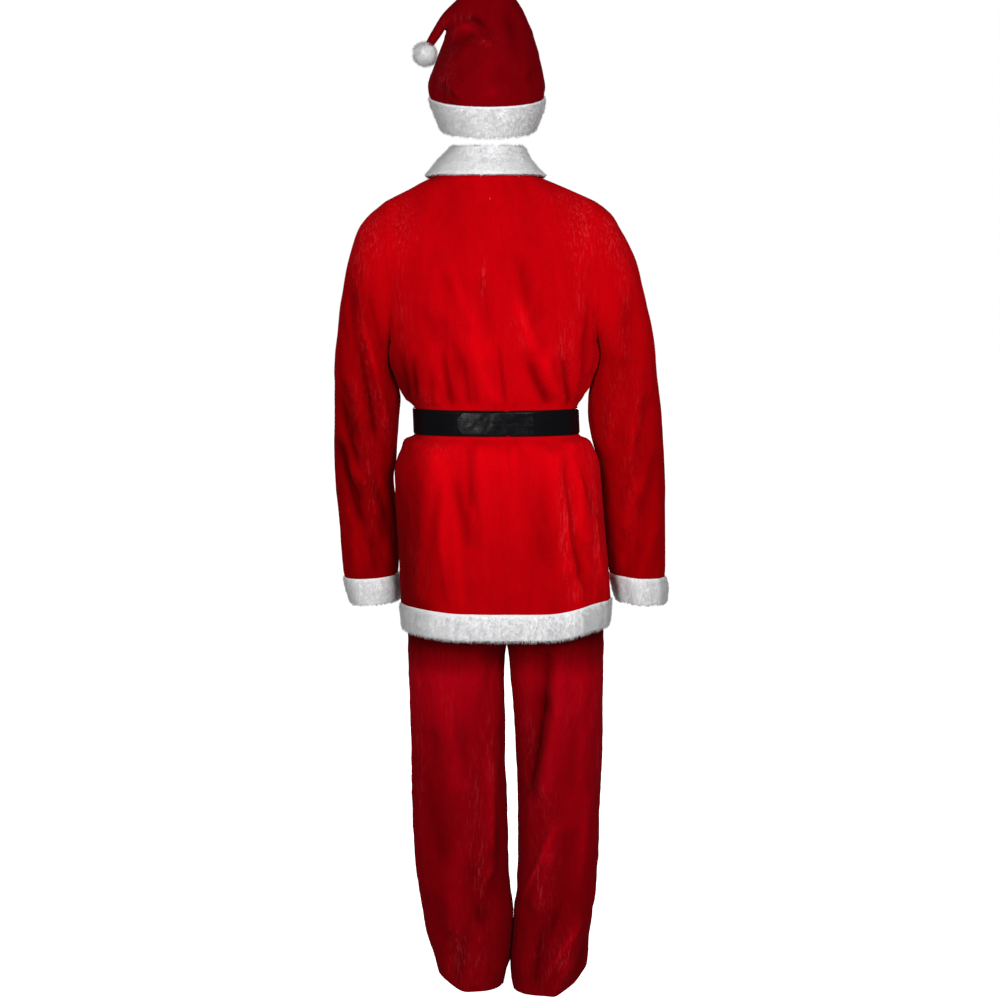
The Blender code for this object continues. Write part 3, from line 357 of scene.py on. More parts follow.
SLEEVE_PAINTED_SHEEN = table(
    PATCH,
    (212, -96, 20, 44, 0.8), (238, -140, 14, 50, 0.5), (234, -250, 7, 60, 0.4),
    (226, -330, 7, 60, 0.35), (208, -395, 9, 36, 0.3), (196, -440, 10, 30, 0.4),
    (252, -420, 10, 70, 0.25), (232, -540, 12, 90, 0.3),
)
LEG_PAINTED_SHEEN = table(
    PATCH,
    (34, -1020, 10, 100, 0.35), (62, -1090, 12, 70, 0.25), (110, -930, 30, 80, 0.12),
    (160, -1000, 8, 160, 0.3), (66, -1200, 30, 100, 0.15), (52, -1250, 8, 60, 0.5),
    (60, -1400, 30, 40, 0.25), (98, -1390, 16, 50, 0.4),
)
HAT_PAINTED_SHEEN = table(
    PATCH,
    (44, 278, 22, 8, 0.5), (66, 230, 12, 40, 0.4), (4, 244, 26, 7, 0.35),
    (74, 176, 18, 20, 0.3), (80, 200, 10, 60, 0.25),
)


# ---- user's sizes and colours ------------------------------------------------------

class SuitVelvet(bpy.types.PropertyGroup):
    jacket_red: bpy.props.FloatVectorProperty(
        name="Jacket red", description="Colour of the jacket and sleeves", subtype="COLOR",
        size=3, min=0, max=1, default=(0.53, 0.0003, 0.0032))
    deep_red: bpy.props.FloatVectorProperty(
        name="Deep red", description="Colour of the hat and trousers", subtype="COLOR",
        size=3, min=0, max=1, default=(0.325, 0.0004, 0.0048))
    wall: bpy.props.FloatProperty(
        name="Wall", description="Thickness of the velvet", unit="LENGTH",
        min=0.0008, max=0.003, default=0.0016)
    cell: bpy.props.FloatProperty(
        name="Cell", description="Spacing of the mesh along and across the cloth",
        unit="LENGTH", min=0.003, max=0.02, default=0.0055)
    rumple: bpy.props.FloatProperty(
        name="Rumple", description="Height of the small uneven creases", unit="LENGTH",
        min=0, max=0.004, default=0.0016)
    sheen: bpy.props.FloatProperty(
        name="Sheen", description="Strength of the pile's sheen", min=0, max=1, default=0.05)


class SuitFur(bpy.types.PropertyGroup):
    colour: bpy.props.FloatVectorProperty(
        name="Fur white", description="Colour of the fur", subtype="COLOR",
        size=3, min=0, max=1, default=(0.9, 0.9, 0.91))
    pile: bpy.props.FloatProperty(
        name="Pile", description="Length of the fur's locks", unit="LENGTH",
        min=0.002, max=0.02, default=0.0062)
    lock: bpy.props.FloatProperty(
        name="Lock", description="Width of one lock at its root", unit="LENGTH",
        min=0.0004, max=0.004, default=0.0011)
    density: bpy.props.FloatProperty(
        name="Density", description="Locks on each square centimetre", min=5, max=120,
        default=46)


class SuitBelt(bpy.types.PropertyGroup):
    colour: bpy.props.FloatVectorProperty(
        name="Belt black", description="Colour of the vinyl", subtype="COLOR",
        size=3, min=0, max=1, default=(0.004, 0.004, 0.005))
    roughness: bpy.props.FloatProperty(
        name="Roughness", description="Roughness of the vinyl between scuffs", min=0.05,
        max=1, default=0.22)


class SuitStage(bpy.types.PropertyGroup):
    floor_z: bpy.props.FloatProperty(
        name="Floor", description="Height of the floor the wearer stands on",
        unit="LENGTH", default=-1.56)
    distance: bpy.props.FloatProperty(
        name="Distance", description="From the camera to the suit", unit="LENGTH",
        min=1, max=20, default=4.9)
    lens: bpy.props.FloatProperty(
        name="Lens", description="Focal length on a 36 mm sensor", subtype="UNSIGNED",
        min=10, max=300, default=98.4)


# ---- shapes of the cut, in millimetres ---------------------------------------------

def between(t, name, at):
    """A column of a table at any value of its first column, without overshoot."""
    first = next(iter(t))
    xs, ys = t[first], t[name]
    at = np.clip(np.asarray(at, float), xs[0], xs[-1])
    h, d = np.diff(xs), np.diff(ys) / np.diff(xs)
    m = np.concatenate([d[:1], np.zeros(len(xs) - 2), d[-1:]])
    same = d[:-1] * d[1:] > 0
    m[1:-1][same] = 2 * d[:-1][same] * d[1:][same] / (d[:-1] + d[1:])[same]
    i = np.clip(np.searchsorted(xs, at, side="right") - 1, 0, len(xs) - 2)
    s = (at - xs[i]) / h[i]
    return (ys[i] * (1 + 2 * s) * (1 - s) ** 2 + ys[i + 1] * s * s * (3 - 2 * s)
            + h[i] * m[i] * s * (1 - s) ** 2 - h[i] * m[i + 1] * s * s * (1 - s))


def ease(t):
    t = np.clip(t, 0.0, 1.0)
    return t * t * (3 - 2 * t)


def lengths(p, axis=0):
    """How far each point of a line or grid is from its start, along one axis."""
    step = np.linalg.norm(np.diff(p, axis=axis), axis=-1)
    return np.insert(np.cumsum(step, axis), 0, 0.0, axis)


def points_at(line, at):
    """Points of a polyline at distances along it."""
    along = lengths(line)
    return np.stack([np.interp(at, along, column) for column in line.T], 1)


def spread(line, shares):
    """Points of a polyline at shares of its length, or in a number of even steps."""
    if np.isscalar(shares):
        shares = np.linspace(0, 1, shares + 1)
    return points_at(line, lengths(line)[-1] * shares)


def oval(a, half_x, half_y, power):
    c, s = np.cos(a), np.sin(a)
    return np.stack([half_x * np.sign(c) * np.abs(c) ** (2 / power),
                     half_y * np.sign(s) * np.abs(s) ** (2 / power)], -1)


def slanted_oval(t, names, row, a, power, shares, side=1):
    """An oval whose two ends lie at their own heights, and the point in its middle."""
    outer_x, outer_z, inner_x, inner_z, half_depth, centre_y = (between(t, k, row) for k in names)
    middle = np.array([(outer_x + inner_x) / 2, centre_y, (outer_z + inner_z) / 2])
    across = np.array([outer_x - inner_x, 0, outer_z - inner_z]) / 2
    half = np.linalg.norm(across)
    flat = spread(oval(a, half, half_depth, power), shares)
    return middle + flat[:, :1] / half * across + side * flat[:, 1:] * (0, 1.0, 0), middle


def unit(v):
    return v / np.maximum(np.linalg.norm(v, axis=-1, keepdims=True), 1e-9)


def grid_normals(p, centre, wrap):
    """Outward normals of a grid of points; centre is one point inside each row."""
    down = np.gradient(p, axis=0)
    across = (np.roll(p, -1, 1) - np.roll(p, 1, 1)) / 2 if wrap else np.gradient(p, axis=1)
    n = unit(np.cross(across, down))
    return -n if np.sum(n * (p - centre[:, None, :])) < 0 else n


def flatten(n, edges):
    """Turns the normals at a seam into the seam's own plane, axis by axis."""
    n = n.copy()
    for rows, columns, axis in edges:
        n[rows, columns, axis] = 0.0
    return unit(n)


def fold_height(p, folds):
    """Height of the folds at points p, which run along segments in x and z."""
    out = np.zeros(p.shape[:-1])
    q = p[..., [0, 2]]
    for x0, z0, x1, z1, width, height in zip(*folds.values()):
        a, b = np.array([x0, z0]), np.array([x1, z1])
        t = np.clip(((q - a) @ (b - a)) / ((b - a) @ (b - a)), 0, 1)
        away = np.linalg.norm(q - a - t[..., None] * (b - a), axis=-1)
        out += height * np.exp(-(away / width) ** 2)
    return out


def crease_height(p, creases):
    """Height of the creases at points p, each bowed and fading out at both ends."""
    out = np.zeros(p.shape[:-1])
    for x0, z0, x1, z1, width, height, bow in zip(*creases.values()):
        dx, dz = p[..., 0] - x0, p[..., 2] - z0
        length = math.hypot(x1 - x0, z1 - z0)
        way_x, way_z = (x1 - x0) / length, (z1 - z0) / length
        middle = np.clip(1 - (2 * (dx * way_x + dz * way_z) / length - 1) ** 2, 0, 1)
        away = way_x * dz - way_z * dx - bow * middle
        out += height * middle ** 0.7 * np.exp(-(away / width) ** 2)
    return out


def pressed(p, folds, creases, weight, rumple, rumpled, toned=1.0):
    """Height of the cloth's folds at points p, and the painted light tone there.

    The tone is painted shade, below zero, in troughs and painted highlight, above it, on ridges.
    """
    large, fine = fold_height(p, folds), crease_height(p, creases)
    return ((large + fine) * weight + rumple * rumpled,
            (large / 14 + fine / 2) * weight * toned + 0.1 * rumpled)


def painted_sheen_at(p, patches):
    """How strong the painted sheen is at points p, from 0 to 1."""
    out = np.zeros(p.shape[:-1])
    for x, z, half_x, half_z, strength in zip(*patches.values()):
        out += strength * np.exp(-((p[..., 0] - x) / half_x) ** 2
                                 - ((p[..., 2] - z) / half_z) ** 2)
    return np.minimum(out, 1)


def mirrored(folds):
    return {**folds, "x0": -folds["x0"], "x1": -folds["x1"]}


def shifted(folds, by, share=0.9):
    """The same folds a little lower and fainter, for the side that isn't alike."""
    return {**folds, "z0": folds["z0"] - by, "z1": folds["z1"] - by,
            "height": folds["height"] * share}


def warp(p):
    """Moves points sideways with the stance of the figure."""
    q = np.array(p, float)
    q[..., 0] += np.interp(q[..., 2], SWAY["z"], SWAY["x"])
    return q


def lifted(p, by):
    """Points moved upwards, each by its own height."""
    q = p.copy()
    q[..., 2] += by
    return q


def waves(p, size, seed, long=1.0, count=9):
    """Smooth uneven heights between about -1 and 1; long stretches them downwards."""
    rng = np.random.default_rng(seed)
    out = np.zeros(p.shape[:-1])
    for _ in range(count):
        way = unit(rng.normal(size=3)) * (1, 1, 1 / long)
        out += np.sin(p @ way * (2 * math.pi / (size * rng.uniform(0.7, 1.5)))
                      + rng.uniform(0, 2 * math.pi))
    return out / math.sqrt(2 * count)


def rumples(p, seed, long=2.2):
    """Soft troughs with narrow creases between them, as in crushed velvet."""
    bend = np.stack([waves(p, 70, seed + k, long=1.4) for k in (1, 2, 3)], -1)
    q = p + 14 * bend
    broad = 1 - np.abs(waves(q, 62, seed + 4, long)) * 1.6
    narrow = 1 - np.abs(waves(q, 30, seed + 5, long)) * 1.6
    fine = waves(q, 17, seed + 6, long)
    return 0.75 * broad + 0.4 * narrow + 0.16 * fine - 0.35


def steps(start, end, cell, near=(1.2, 2.6, 5.0)):
    """Places from start to end about a cell apart, closer beside both ends."""
    length = abs(end - start)
    last = near[-1]
    count = max(2, round((length - 2 * last) / cell) + 1)
    body = np.linspace(last, length - last, count)
    at = np.concatenate([[0], near[:-1], body, length - np.array(near[:-1])[::-1], [length]])
    return start + at * math.copysign(1, end - start)


def seam_roll(distance, depth=1.5, width=3.2):
    """How far the cloth turns in towards a seam that is this far away."""
    return -depth * np.exp(-(distance / width) ** 2)


def side_seams(p, depth, width=3.2):
    """The roll of a panel towards the seams at its first and last column."""
    along = lengths(p, 1)
    return seam_roll(along, depth, width) + seam_roll(along[:, -1:] - along, depth, width)


def moved(p, height, n):
    """Points moved along their normals."""
    return p + height[..., None] * n


# ---- jacket ------------------------------------------------------------------------

def torso_arc(z, side, hand, shares):
    """A quarter of the jacket's section, from the middle to the side seam."""
    half_x, half_y = between(TORSO, HANDS[hand], z), between(TORSO, SIDES[side], z)
    bend = TORSO_POWER / 2
    a = np.linspace(math.acos((HALF_SEAM / half_x) ** bend),
                    math.asin((HALF_SEAM / half_y) ** bend), 400)
    arc = spread(oval(a, half_x, half_y, TORSO_POWER), shares)
    return np.column_stack([arc[:, 0], side * arc[:, 1], np.full(len(arc), float(z))])


def neck_point(turn, side):
    """A point of the neck seam; turn runs from 0 at the middle to 1 at the shoulder."""
    a = turn * math.pi / 2
    depth = NECK_BACK if side > 0 else NECK_FRONT
    drop = 0.0 if side > 0 else -NECK_DROP * np.cos(a) ** 1.5
    return np.stack([NECK_HALF_WIDTH * np.sin(a), side * depth * np.cos(a), drop + 0 * a], -1)


def torso_columns(side, cell):
    """Shares across a quarter panel, with one column at the neck's end."""
    v = steps(0, PANEL_WIDTH, cell) / PANEL_WIDTH
    v[np.argmin(np.abs(v - NECK_SHARE[side]))] = NECK_SHARE[side]
    return v


def torso_base(side, hand, v, body_z, yoke_h):
    """The grid of a quarter of the jacket body, from the hem up to neck and shoulder."""
    split = NECK_SHARE[side]
    rows = [torso_arc(z, side, hand, v) for z in body_z]
    base = torso_arc(ARMPIT_Z, side, hand, v)
    base[-1] = (SHOULDER_X - HALF_SEAM, side * HALF_SEAM, ARMPIT_Z)
    neck = neck_point(v[v <= split] / split, side)
    neck[0, 0], neck[-1, 1] = HALF_SEAM, side * HALF_SEAM
    share = (v[v > split] - split) / (1 - split)
    seam = np.column_stack([
        NECK_HALF_WIDTH + (SHOULDER_X - HALF_SEAM - NECK_HALF_WIDTH) * share,
        np.full(len(share), side * HALF_SEAM),
        SHOULDER_Z * share ** 1.03])
    top = np.concatenate([neck, seam])
    # Below the seams the corner at the neck's end is rounded away.
    soft_top = top.copy()
    for _ in range(ROUNDING_PASSES):
        lined = np.concatenate([soft_top[1:2] * (-1, 1, 1), soft_top])
        soft_top[:-1] = (lined[:-2] + 2 * lined[1:-1] + lined[2:]) / 4
        soft_top[0, 0] = HALF_SEAM
    body = 1 - ease((v - 0.30) / 0.3)
    near = np.clip((v - 0.45) / 0.55, 0, 1) ** 1.8
    for h in yoke_h:
        f = body * (1 - h ** 2.6) + (1 - body) * (1 - h ** 2.3) ** (1 / 2.3)
        goal = soft_top + (top - soft_top) * h ** 14
        x = base[:, 0] + (goal[:, 0] - base[:, 0]) * h ** 1.4
        y = goal[:, 1] + (base[:, 1] - goal[:, 1]) * f
        z = base[:, 2] + (goal[:, 2] - base[:, 2]) * h
        # Beside the armhole the cloth swells to the armhole's own depth.
        swell = ARMHOLE_DEPTH * (1 - abs(2 * h - 1) ** 2.2) ** (1 / 2.2)
        soft = ARMHOLE_DEPTH * math.sin(math.pi * h) ** 0.8
        y = y + side * near * (soft + (swell - soft) * near ** 3)
        y[-1] = side * max(swell, HALF_SEAM)
        rows.append(np.column_stack([x, y, z]))
    rows[len(body_z)][:] = base
    return np.array(rows)


def yoke_steps(cell):
    """Shares from the armpit to the top, closer together where the shoulder rounds over."""
    t = np.linspace(0, 1, round(260 / cell) + 1)
    return 0.5 * (1 - np.cos(math.pi * t)) * 0.45 + 0.55 * (1 - (1 - t) ** 1.7)


def underarm_fold(z, away):
    """A soft fold below the armpit, on the lines that are away from its crest."""
    below = ARMPIT_Z - z
    return ease((below + 1.5) / 5) * ease((95 - below) / 16) * np.exp(-(away / 11) ** 2)


@functools.lru_cache(maxsize=None)
def torso_panel(side, hand, cell, rumple):
    """Points of one jacket panel, the centre of each row, and marks for the velvet."""
    v = torso_columns(side, cell)
    body_z = steps(JACKET_HEM_Z, ARMPIT_Z, cell)[:-1]
    yoke_h = yoke_steps(cell)
    p = torso_base(side, hand, v, body_z, yoke_h)
    p[..., 0] *= hand
    x, y, z = np.moveaxis(p, -1, 0)
    below = len(body_z)
    centre = np.stack([0 * z[:, 0], 0 * z[:, 0], np.minimum(z[:, 0], -150)], 1)
    shoulder = v > NECK_SHARE[side]
    n = flatten(grid_normals(p, centre, False), [
        (ALL, 0, 0), (slice(0, below), -1, 1), (slice(below, None), -1, 0), (0, ALL, 2),
        (-1, slice(int(np.sum(~shoulder)), None), 1)])
    n[below, -1] = (0, 0, -1)
    n[-1, -1] = (0, 0, 1)
    from_belt = np.abs(z - BELT_Z) - BELT_HEIGHT / 2
    off_belt = ease((from_belt - 3) / 14)
    weight = np.clip(np.abs(y) / 45, 0, 1) * off_belt
    weight[below:] *= (1 - ease((v - 0.72) / 0.22)) * (1 - yoke_h[:, None] ** 3)
    calm = off_belt.copy()
    calm[below:] *= 1 - 0.65 * yoke_h[:, None] ** 2
    # The outline at the side seams stays close to the cut's.
    calm *= 1 - 0.6 * np.exp(-(y / 38) ** 2)
    folds, creases, patches = ((JACKET_BACK_FOLDS, BACK_CREASES, BACK_PAINTED_SHEEN) if side > 0
                               else (JACKET_FRONT_FOLDS, FRONT_CREASES, FRONT_PAINTED_SHEEN))
    height, tone = pressed(p, folds, creases, weight, rumple, rumples(p, seed=20 + side) * calm)
    # Small gathers above and below the belt, and soft waves along the hem.
    gather = waves(p * (1, 1, 0.12), size=26, seed=11 + side, count=7)
    height += 2.6 * gather * np.exp(-(from_belt / 46) ** 2) * off_belt
    height += 2.2 * waves(p * (1, 1, 0.1), size=90, seed=5 + side) * ease((-600 - z) / 150)
    # Painted crease shade and highlight, fainter below the belt.
    tone *= 1 - 0.4 * ease((-460 - z) / 60)
    # Painted shade: darker towards the left side, as the light falls from the right, and darker
    # down to the hem; painted light on the lower right side and just below the belt, where the
    # skirt flares up towards the light.
    tone -= 0.5 * ease((x - 90) / 85) * ease((-110 - z) / 90)
    tone -= 1.5 * ease((x - 95) / 70) * ease((-290 - z) / 90)
    tone += 0.3 * ease((-x - 90) / 60) * ease((-460 - z) / 60)
    tone += np.interp(z, (-768, -640, -560, -500, -470, -440), (-0.75, -0.5, -0.1, 0.7, 0.9, 0))
    if side > 0:
        height += 2.4 * underarm_fold(z, y - UNDERARM)
    height += side_seams(p, 0.25, 2.5)
    rise = lengths(p)
    height[below:] += seam_roll((rise[-1:] - rise)[below:], 0.8, 3.0) * shoulder
    return moved(p, height, n), centre, (tone, painted_sheen_at(p, patches))


def skirt_drape(p):
    """The jacket's hem rises towards both sides, and more on the wearer's right."""
    x, _, z = np.moveaxis(p, -1, 0)
    low, side = ease((-610 - z) / 150), ease((np.abs(x) - 80) / 95)
    return lifted(p, low * side * np.where(x > 0, 5.0, 14.0))


def armhole_loop(cell):
    """The armhole from the armpit up the back and down the front, for the left."""
    loops = []
    for side in SIDES:
        edge = torso_base(side, 1, np.array([0.0, NECK_SHARE[side], 1.0]), [ARMPIT_Z - 5],
                          yoke_steps(cell))[1:, -1]
        edge[0, 1] = edge[-1, 1] = 0
        loops.append(edge)
    loop = np.concatenate([loops[0][::-1], loops[1][1:]])
    loop[:, 0] = SHOULDER_X + HALF_SEAM
    return loop


def cuff_drape(p):
    """The sleeve's end hangs a little lower at the back and on the outer side."""
    x, y, z = np.moveaxis(p, -1, 0)
    return lifted(p, -ease((-600 - z) / 110) * (0.07 * (np.abs(x) - 243) + 0.05 * (y + 55)))


@functools.lru_cache(maxsize=None)
def sleeve_grid(hand, cell, rumple):
    """Points of a sleeve from the armhole down to the cuff, row centres and marks."""
    left = hand > 0
    cols = round(SLEEVE_GIRTH / cell)
    names = (f"outer_{HANDS[hand]}", "outer_z", f"inner_{HANDS[hand]}", "inner_z",
             "half_depth", "centre_y")
    # The spacing of the rows follows the length of the sleeve's middle line.
    fine = np.linspace(SLEEVE["row"][0], SLEEVE["row"][-1], 400)
    outer_x, outer_z, inner_x, inner_z = (between(SLEEVE, k, fine) for k in names[:4])
    along = lengths(np.stack([outer_x + inner_x, outer_z + inner_z], 1) / 2)
    around = np.linspace(0, 2 * math.pi, 480)
    rows, centres = zip(*[
        slanted_oval(SLEEVE, names, r, around, SLEEVE_POWER, cols)
        for r in np.interp(steps(0, along[-1], cell), along, fine)])
    edge = spread(armhole_loop(cell), cols)
    # Three more rows beside the armhole, so that the seam can turn in.
    shares = (0, 0.08, 0.2, 0.45)
    p = np.array([edge + (rows[0] - edge) * s for s in shares] + list(rows))[:, :-1]
    middle = edge[:-1].mean(0)
    centre = np.array([middle + (centres[0] - middle) * s for s in shares] + list(centres))
    x, y, z = np.moveaxis(p, -1, 0)
    out, back = x - centre[:, None, 0], y - centre[:, None, 1]
    n = flatten(grid_normals(p, centre, True), [(0, ALL, 0), (-1, ALL, 2)])
    folds = SLEEVE_FOLDS if left else shifted(SLEEVE_FOLDS, 26)
    creases = SLEEVE_CREASES if left else SLEEVE_CREASES_RIGHT
    rise = np.linalg.norm(p - p[:1], axis=-1)
    down = ease((rise - 8) / 60)
    weight = np.clip(np.abs(back) / 30, 0, 1) * down * (1 - ease((-out - 28) / 25))
    calm = down * (1 - 0.65 * np.exp(-(back / 26) ** 2))
    height, tone = pressed(p, folds, creases, weight, rumple,
                           rumples(p, seed=40 + hand) * calm, toned=1.0 if left else 0.6)
    # Painted shade: the sleeves darken down towards the cuffs, the left one more, as the light
    # falls from above and from the right.
    dark = np.interp(z, (-700, -560, -360, -200, -80),
                     (2.0, 1.9, 1.5, 0.9, 0.1) if left else (1.3, 1.2, 0.9, 0.3, 0))
    tone -= dark * (0.35 + 0.65 * ease(rise / 90))
    height += 1.4 * underarm_fold(z, back + UNDERARM) * (out < 0)
    to_cuff = z - z[-1]
    gather = waves(p * (1, 1, 0.1), size=34, seed=50 + hand, count=7)
    height += 1.2 * gather * np.exp(-(to_cuff / 40) ** 2)
    height += seam_roll(rise, 0.25, 3.0) + seam_roll(to_cuff, 1.2, 4.0)
    turn = np.array([hand, 1, 1])
    return moved(p, height, n) * turn, centre * turn, (tone, painted_sheen_at(p, SLEEVE_PAINTED_SHEEN))


# ---- trousers ----------------------------------------------------------------------

def leg_arc(z, side, hand, share):
    """Half of a leg's section, from the crotch or inseam to the side seam."""
    outer, inner = (between(LEG, f"{edge}_{HANDS[hand]}", z) for edge in ("outer", "inner"))
    half_y = between(LEG, SIDES[side], z)
    half_x, middle, bend = (outer - inner) / 2, (outer + inner) / 2, LEG_POWER / 2
    least = math.asin((HALF_SEAM / half_y) ** bend)
    last = math.pi - least
    if middle - half_x < HALF_SEAM:
        # The loop would cross the middle plane, so it ends there.
        cut = (middle - HALF_SEAM) / half_x
        last = min(last, math.acos(-min(1.0, cut ** bend)) if cut > 0 else math.pi / 2)
    short = math.degrees(math.pi - last)
    power = 1 + 9 * max(0.0, 1 - short / 60) ** 1.5
    a = math.pi * share - (math.pi - last) * share ** power
    arc = oval(np.clip(a, least, last), half_x, half_y, LEG_POWER)
    return np.column_stack([np.maximum(arc[:, 0] + middle, HALF_SEAM), side * arc[:, 1],
                            np.full(len(share), float(z))]), (middle, 0, z)


def hem_drape(p, hand):
    """The trouser hem hangs lower at the back and inside than at the side."""
    x, _, z = np.moveaxis(p, -1, 0)
    rise = 22 * ease((np.abs(x) - 76) / 60)
    return lifted(p, ease((-1330 - z) / 125) * (rise - (8 if hand > 0 else 16)))


def leg_panel(side, hand, cell, rumple):
    """Points of one trouser panel from the hem up to the waist, row centres and marks."""
    left = hand > 0
    share = 1 - steps(0, LEG_WIDTH, cell) / LEG_WIDTH
    # The rows are closer together just above the crotch, where the two legs join.
    z_rows = np.concatenate([
        steps(LEG["z"][0], CROTCH_Z - 4, cell), CROTCH_Z + np.array([0, 4, 7.5, 11, 15, 20]),
        steps(CROTCH_Z + 25, WAISTBAND_TOP - WAISTBAND_HEIGHT - 0.4, 2.2 * cell)])
    rows, middles = zip(*[leg_arc(z, side, hand, share) for z in z_rows])
    p, centre = np.array(rows), np.array(middles)
    z = p[..., 2]
    crotch = int(np.sum(z_rows < CROTCH_Z))
    n = flatten(grid_normals(p, centre, False), [
        (ALL, -1, 1), (slice(0, crotch), 0, 1), (slice(crotch, None), 0, 0), (0, ALL, 2),
        (-1, ALL, 2)])
    if side > 0:
        folds = LEG_BACK_FOLDS_LEFT if left else mirrored(LEG_BACK_FOLDS_RIGHT)
        creases = LEG_CREASES if left else LEG_CREASES_RIGHT
    else:
        folds = shifted(LEG_FRONT_FOLDS, 0 if left else 30)
        creases = shifted(LEG_CREASES_RIGHT if left else LEG_CREASES, 24)
    weight = np.clip(np.abs(p[..., 1]) / 35, 0, 1) * ease((-700 - z) / 100)
    height, tone = pressed(p, folds, creases, weight, rumple,
                           rumples(p, seed=70 + 3 * side + hand) * ease((-790 - z) / 40))
    # Painted shade: the legs darken down towards the hems, with a painted shadow under the
    # jacket's hem at the top.
    tone += np.interp(z, (-1450, -1200, -1000, -890, -845, -820),
                      (-1.7, -1.3, -0.7, 0.1, -1.9, -3.4))
    height += side_seams(p, 1.6) * ease((-815 - z) / 20)
    turn = np.array([hand, 1, 1])
    return (hem_drape(moved(p, height, n) * turn, hand), centre * turn,
            (tone, painted_sheen_at(p, LEG_PAINTED_SHEEN)))


# ---- hat ---------------------------------------------------------------------------

def hat_tilt(p):
    """The hat slopes down towards the back, and less so above its fold."""
    _, y, z = np.moveaxis(p, -1, 0)
    tilt = HAT_TILT * (1 - 0.75 * ease((z - 190) / 110))
    return lifted(p, -tilt * (y - HAT["centre_y"][0]))


def hat_row(r, side, shares):
    """One row of points on a side of the hat, and the row's centre."""
    lean = math.asin((HALF_SEAM / between(HAT, "half_depth", r)) ** (HAT_POWER / 2))
    return slanted_oval(HAT, list(HAT)[1:], r, np.linspace(lean, math.pi - lean, 300), HAT_POWER,
                        shares, side)


def hat_panel(side, cell, rumple):
    """Points of one side of the hat from its edge to its tail, row centres and marks."""
    fine = np.linspace(HAT["row"][0], HAT["row"][-1], 600)
    along = lengths(np.stack([between(HAT, k, fine) for k in ("outer_x", "outer_z")], 1))
    r = np.interp(steps(0, along[-1], cell), along, fine)
    shares = steps(0, HAT_WIDTH, cell) / HAT_WIDTH
    rows, middles = zip(*[hat_row(k, side, shares) for k in r])
    p, centre = np.array(rows), np.array(middles)
    n = flatten(grid_normals(p, centre, False), [(ALL, 0, 1), (ALL, -1, 1), (0, ALL, 2)])
    folds, creases = ((HAT_BACK_FOLDS, HAT_CREASES) if side > 0
                      else (HAT_FRONT_FOLDS, shifted(HAT_CREASES, 8)))
    r = r[:, None]
    weight = np.clip(np.abs(p[..., 1] - centre[:, 1:2]) / 30, 0, 1) * (1 - ease((r - 6.0) / 3))
    small = 1 - 0.7 * ease((r - 8.0) / 4)
    height, tone = pressed(p, folds, creases, weight, 0.8 * rumple,
                           rumples(p, seed=90 + side, long=1.3) * small)
    height += side_seams(p, 0.9, 2.5) * small
    # The hat's tone is set darker all over.
    return hat_tilt(moved(p, height, n)), hat_tilt(centre), (tone - 1.4, painted_sheen_at(p, HAT_PAINTED_SHEEN))


# ---- bands -------------------------------------------------------------------------

def ring_sides(ring, closed=True):
    """The outward level direction at each point of a ring that runs round a tube."""
    along = np.roll(ring, -1, 0) - np.roll(ring, 1, 0) if closed else np.gradient(ring, axis=0)
    out = np.cross(along, (0, 0, 1.0))
    if np.sum(out[:, :2] * (ring - ring.mean(0))[:, :2]) < 0:
        out = -out
    return unit(out)


def open_ring_sides(ring):
    """The same for a ring that opens at the middle plane, where its ends face forwards."""
    out = ring_sides(ring, closed=False)
    out[[0, -1], 0] = 0
    return unit(out)


def closed_ring(line, count):
    """Even points round a line that ends beside its start."""
    return spread(np.concatenate([line, line[:1]]), count)[:-1]


def fur_profile(thick, height, lean=0.0):
    """A rounded section of fur backing that hangs down from the point it starts at."""
    corners = [(-0.45 * thick, -0.14 * height), (-0.1 * thick, 0.0),
               (0.3 * thick, -0.05 * height), (0.55 * thick + lean / 2, -0.45 * height),
               (0.4 * thick + lean, -0.92 * height), (lean, -height),
               (-0.4 * thick + lean, -0.9 * height)]
    return drawn_in(rounded(corners, count=40), LOCK_ROOM)


def rounded(profile, count):
    """A closed smooth line through a profile's corners, as count even points."""
    c = np.asarray(profile, float)
    t = np.linspace(0, 1, 12, endpoint=False)[:, None]
    a, b, d, e = (np.roll(c, k, 0)[:, None] for k in (1, 0, -1, -2))
    line = 0.5 * (2 * b + (d - a) * t + (2 * a - 5 * b + 4 * d - e) * t ** 2
                  + (3 * b - a - 3 * d + e) * t ** 3)
    return closed_ring(line.reshape(-1, 2), count)


def drawn_in(profile, by):
    """A profile made smaller by a distance, and much less so where it faces up."""
    p = np.asarray(profile, float)
    along = np.roll(p, -1, 0) - np.roll(p, 1, 0)
    n = unit(np.stack([along[:, 1], -along[:, 0]], 1))
    if np.sum(n * (p - p.mean(0))) < 0:
        n = -n
    return p - by * (1 - 0.8 * np.maximum(n[:, 1:], 0)) * n


def band_grid(ring, out, profile):
    """The profile's (out, up) points carried along a ring: one row for each ring point."""
    profile = np.asarray(profile)
    return ring[:, None] + profile[..., :1] * out[:, None] + profile[..., 1:] * (0, 0, 1.0)


def closed_ends(grid):
    """Closes the two ends of an open band, each in a point."""
    def end(row):
        middle = row.mean(0)
        return np.array([middle + (row - middle) * s for s in (0.92, 0.7, 0.38, 0.0)])
    return np.concatenate([end(grid[0])[::-1], grid, end(grid[-1])])


# ---- meshes ------------------------------------------------------------------------

def clear_selection():
    if bpy.context.mode != "OBJECT":
        bpy.ops.object.mode_set(mode="OBJECT")
    bpy.ops.object.select_all(action="DESELECT")


def edit(step, **options):
    """Runs one edit-mode step on the whole of the active mesh."""
    bpy.ops.object.mode_set(mode="EDIT")
    bpy.ops.mesh.select_all(action="SELECT")
    step(**options)
    bpy.ops.object.mode_set(mode="OBJECT")


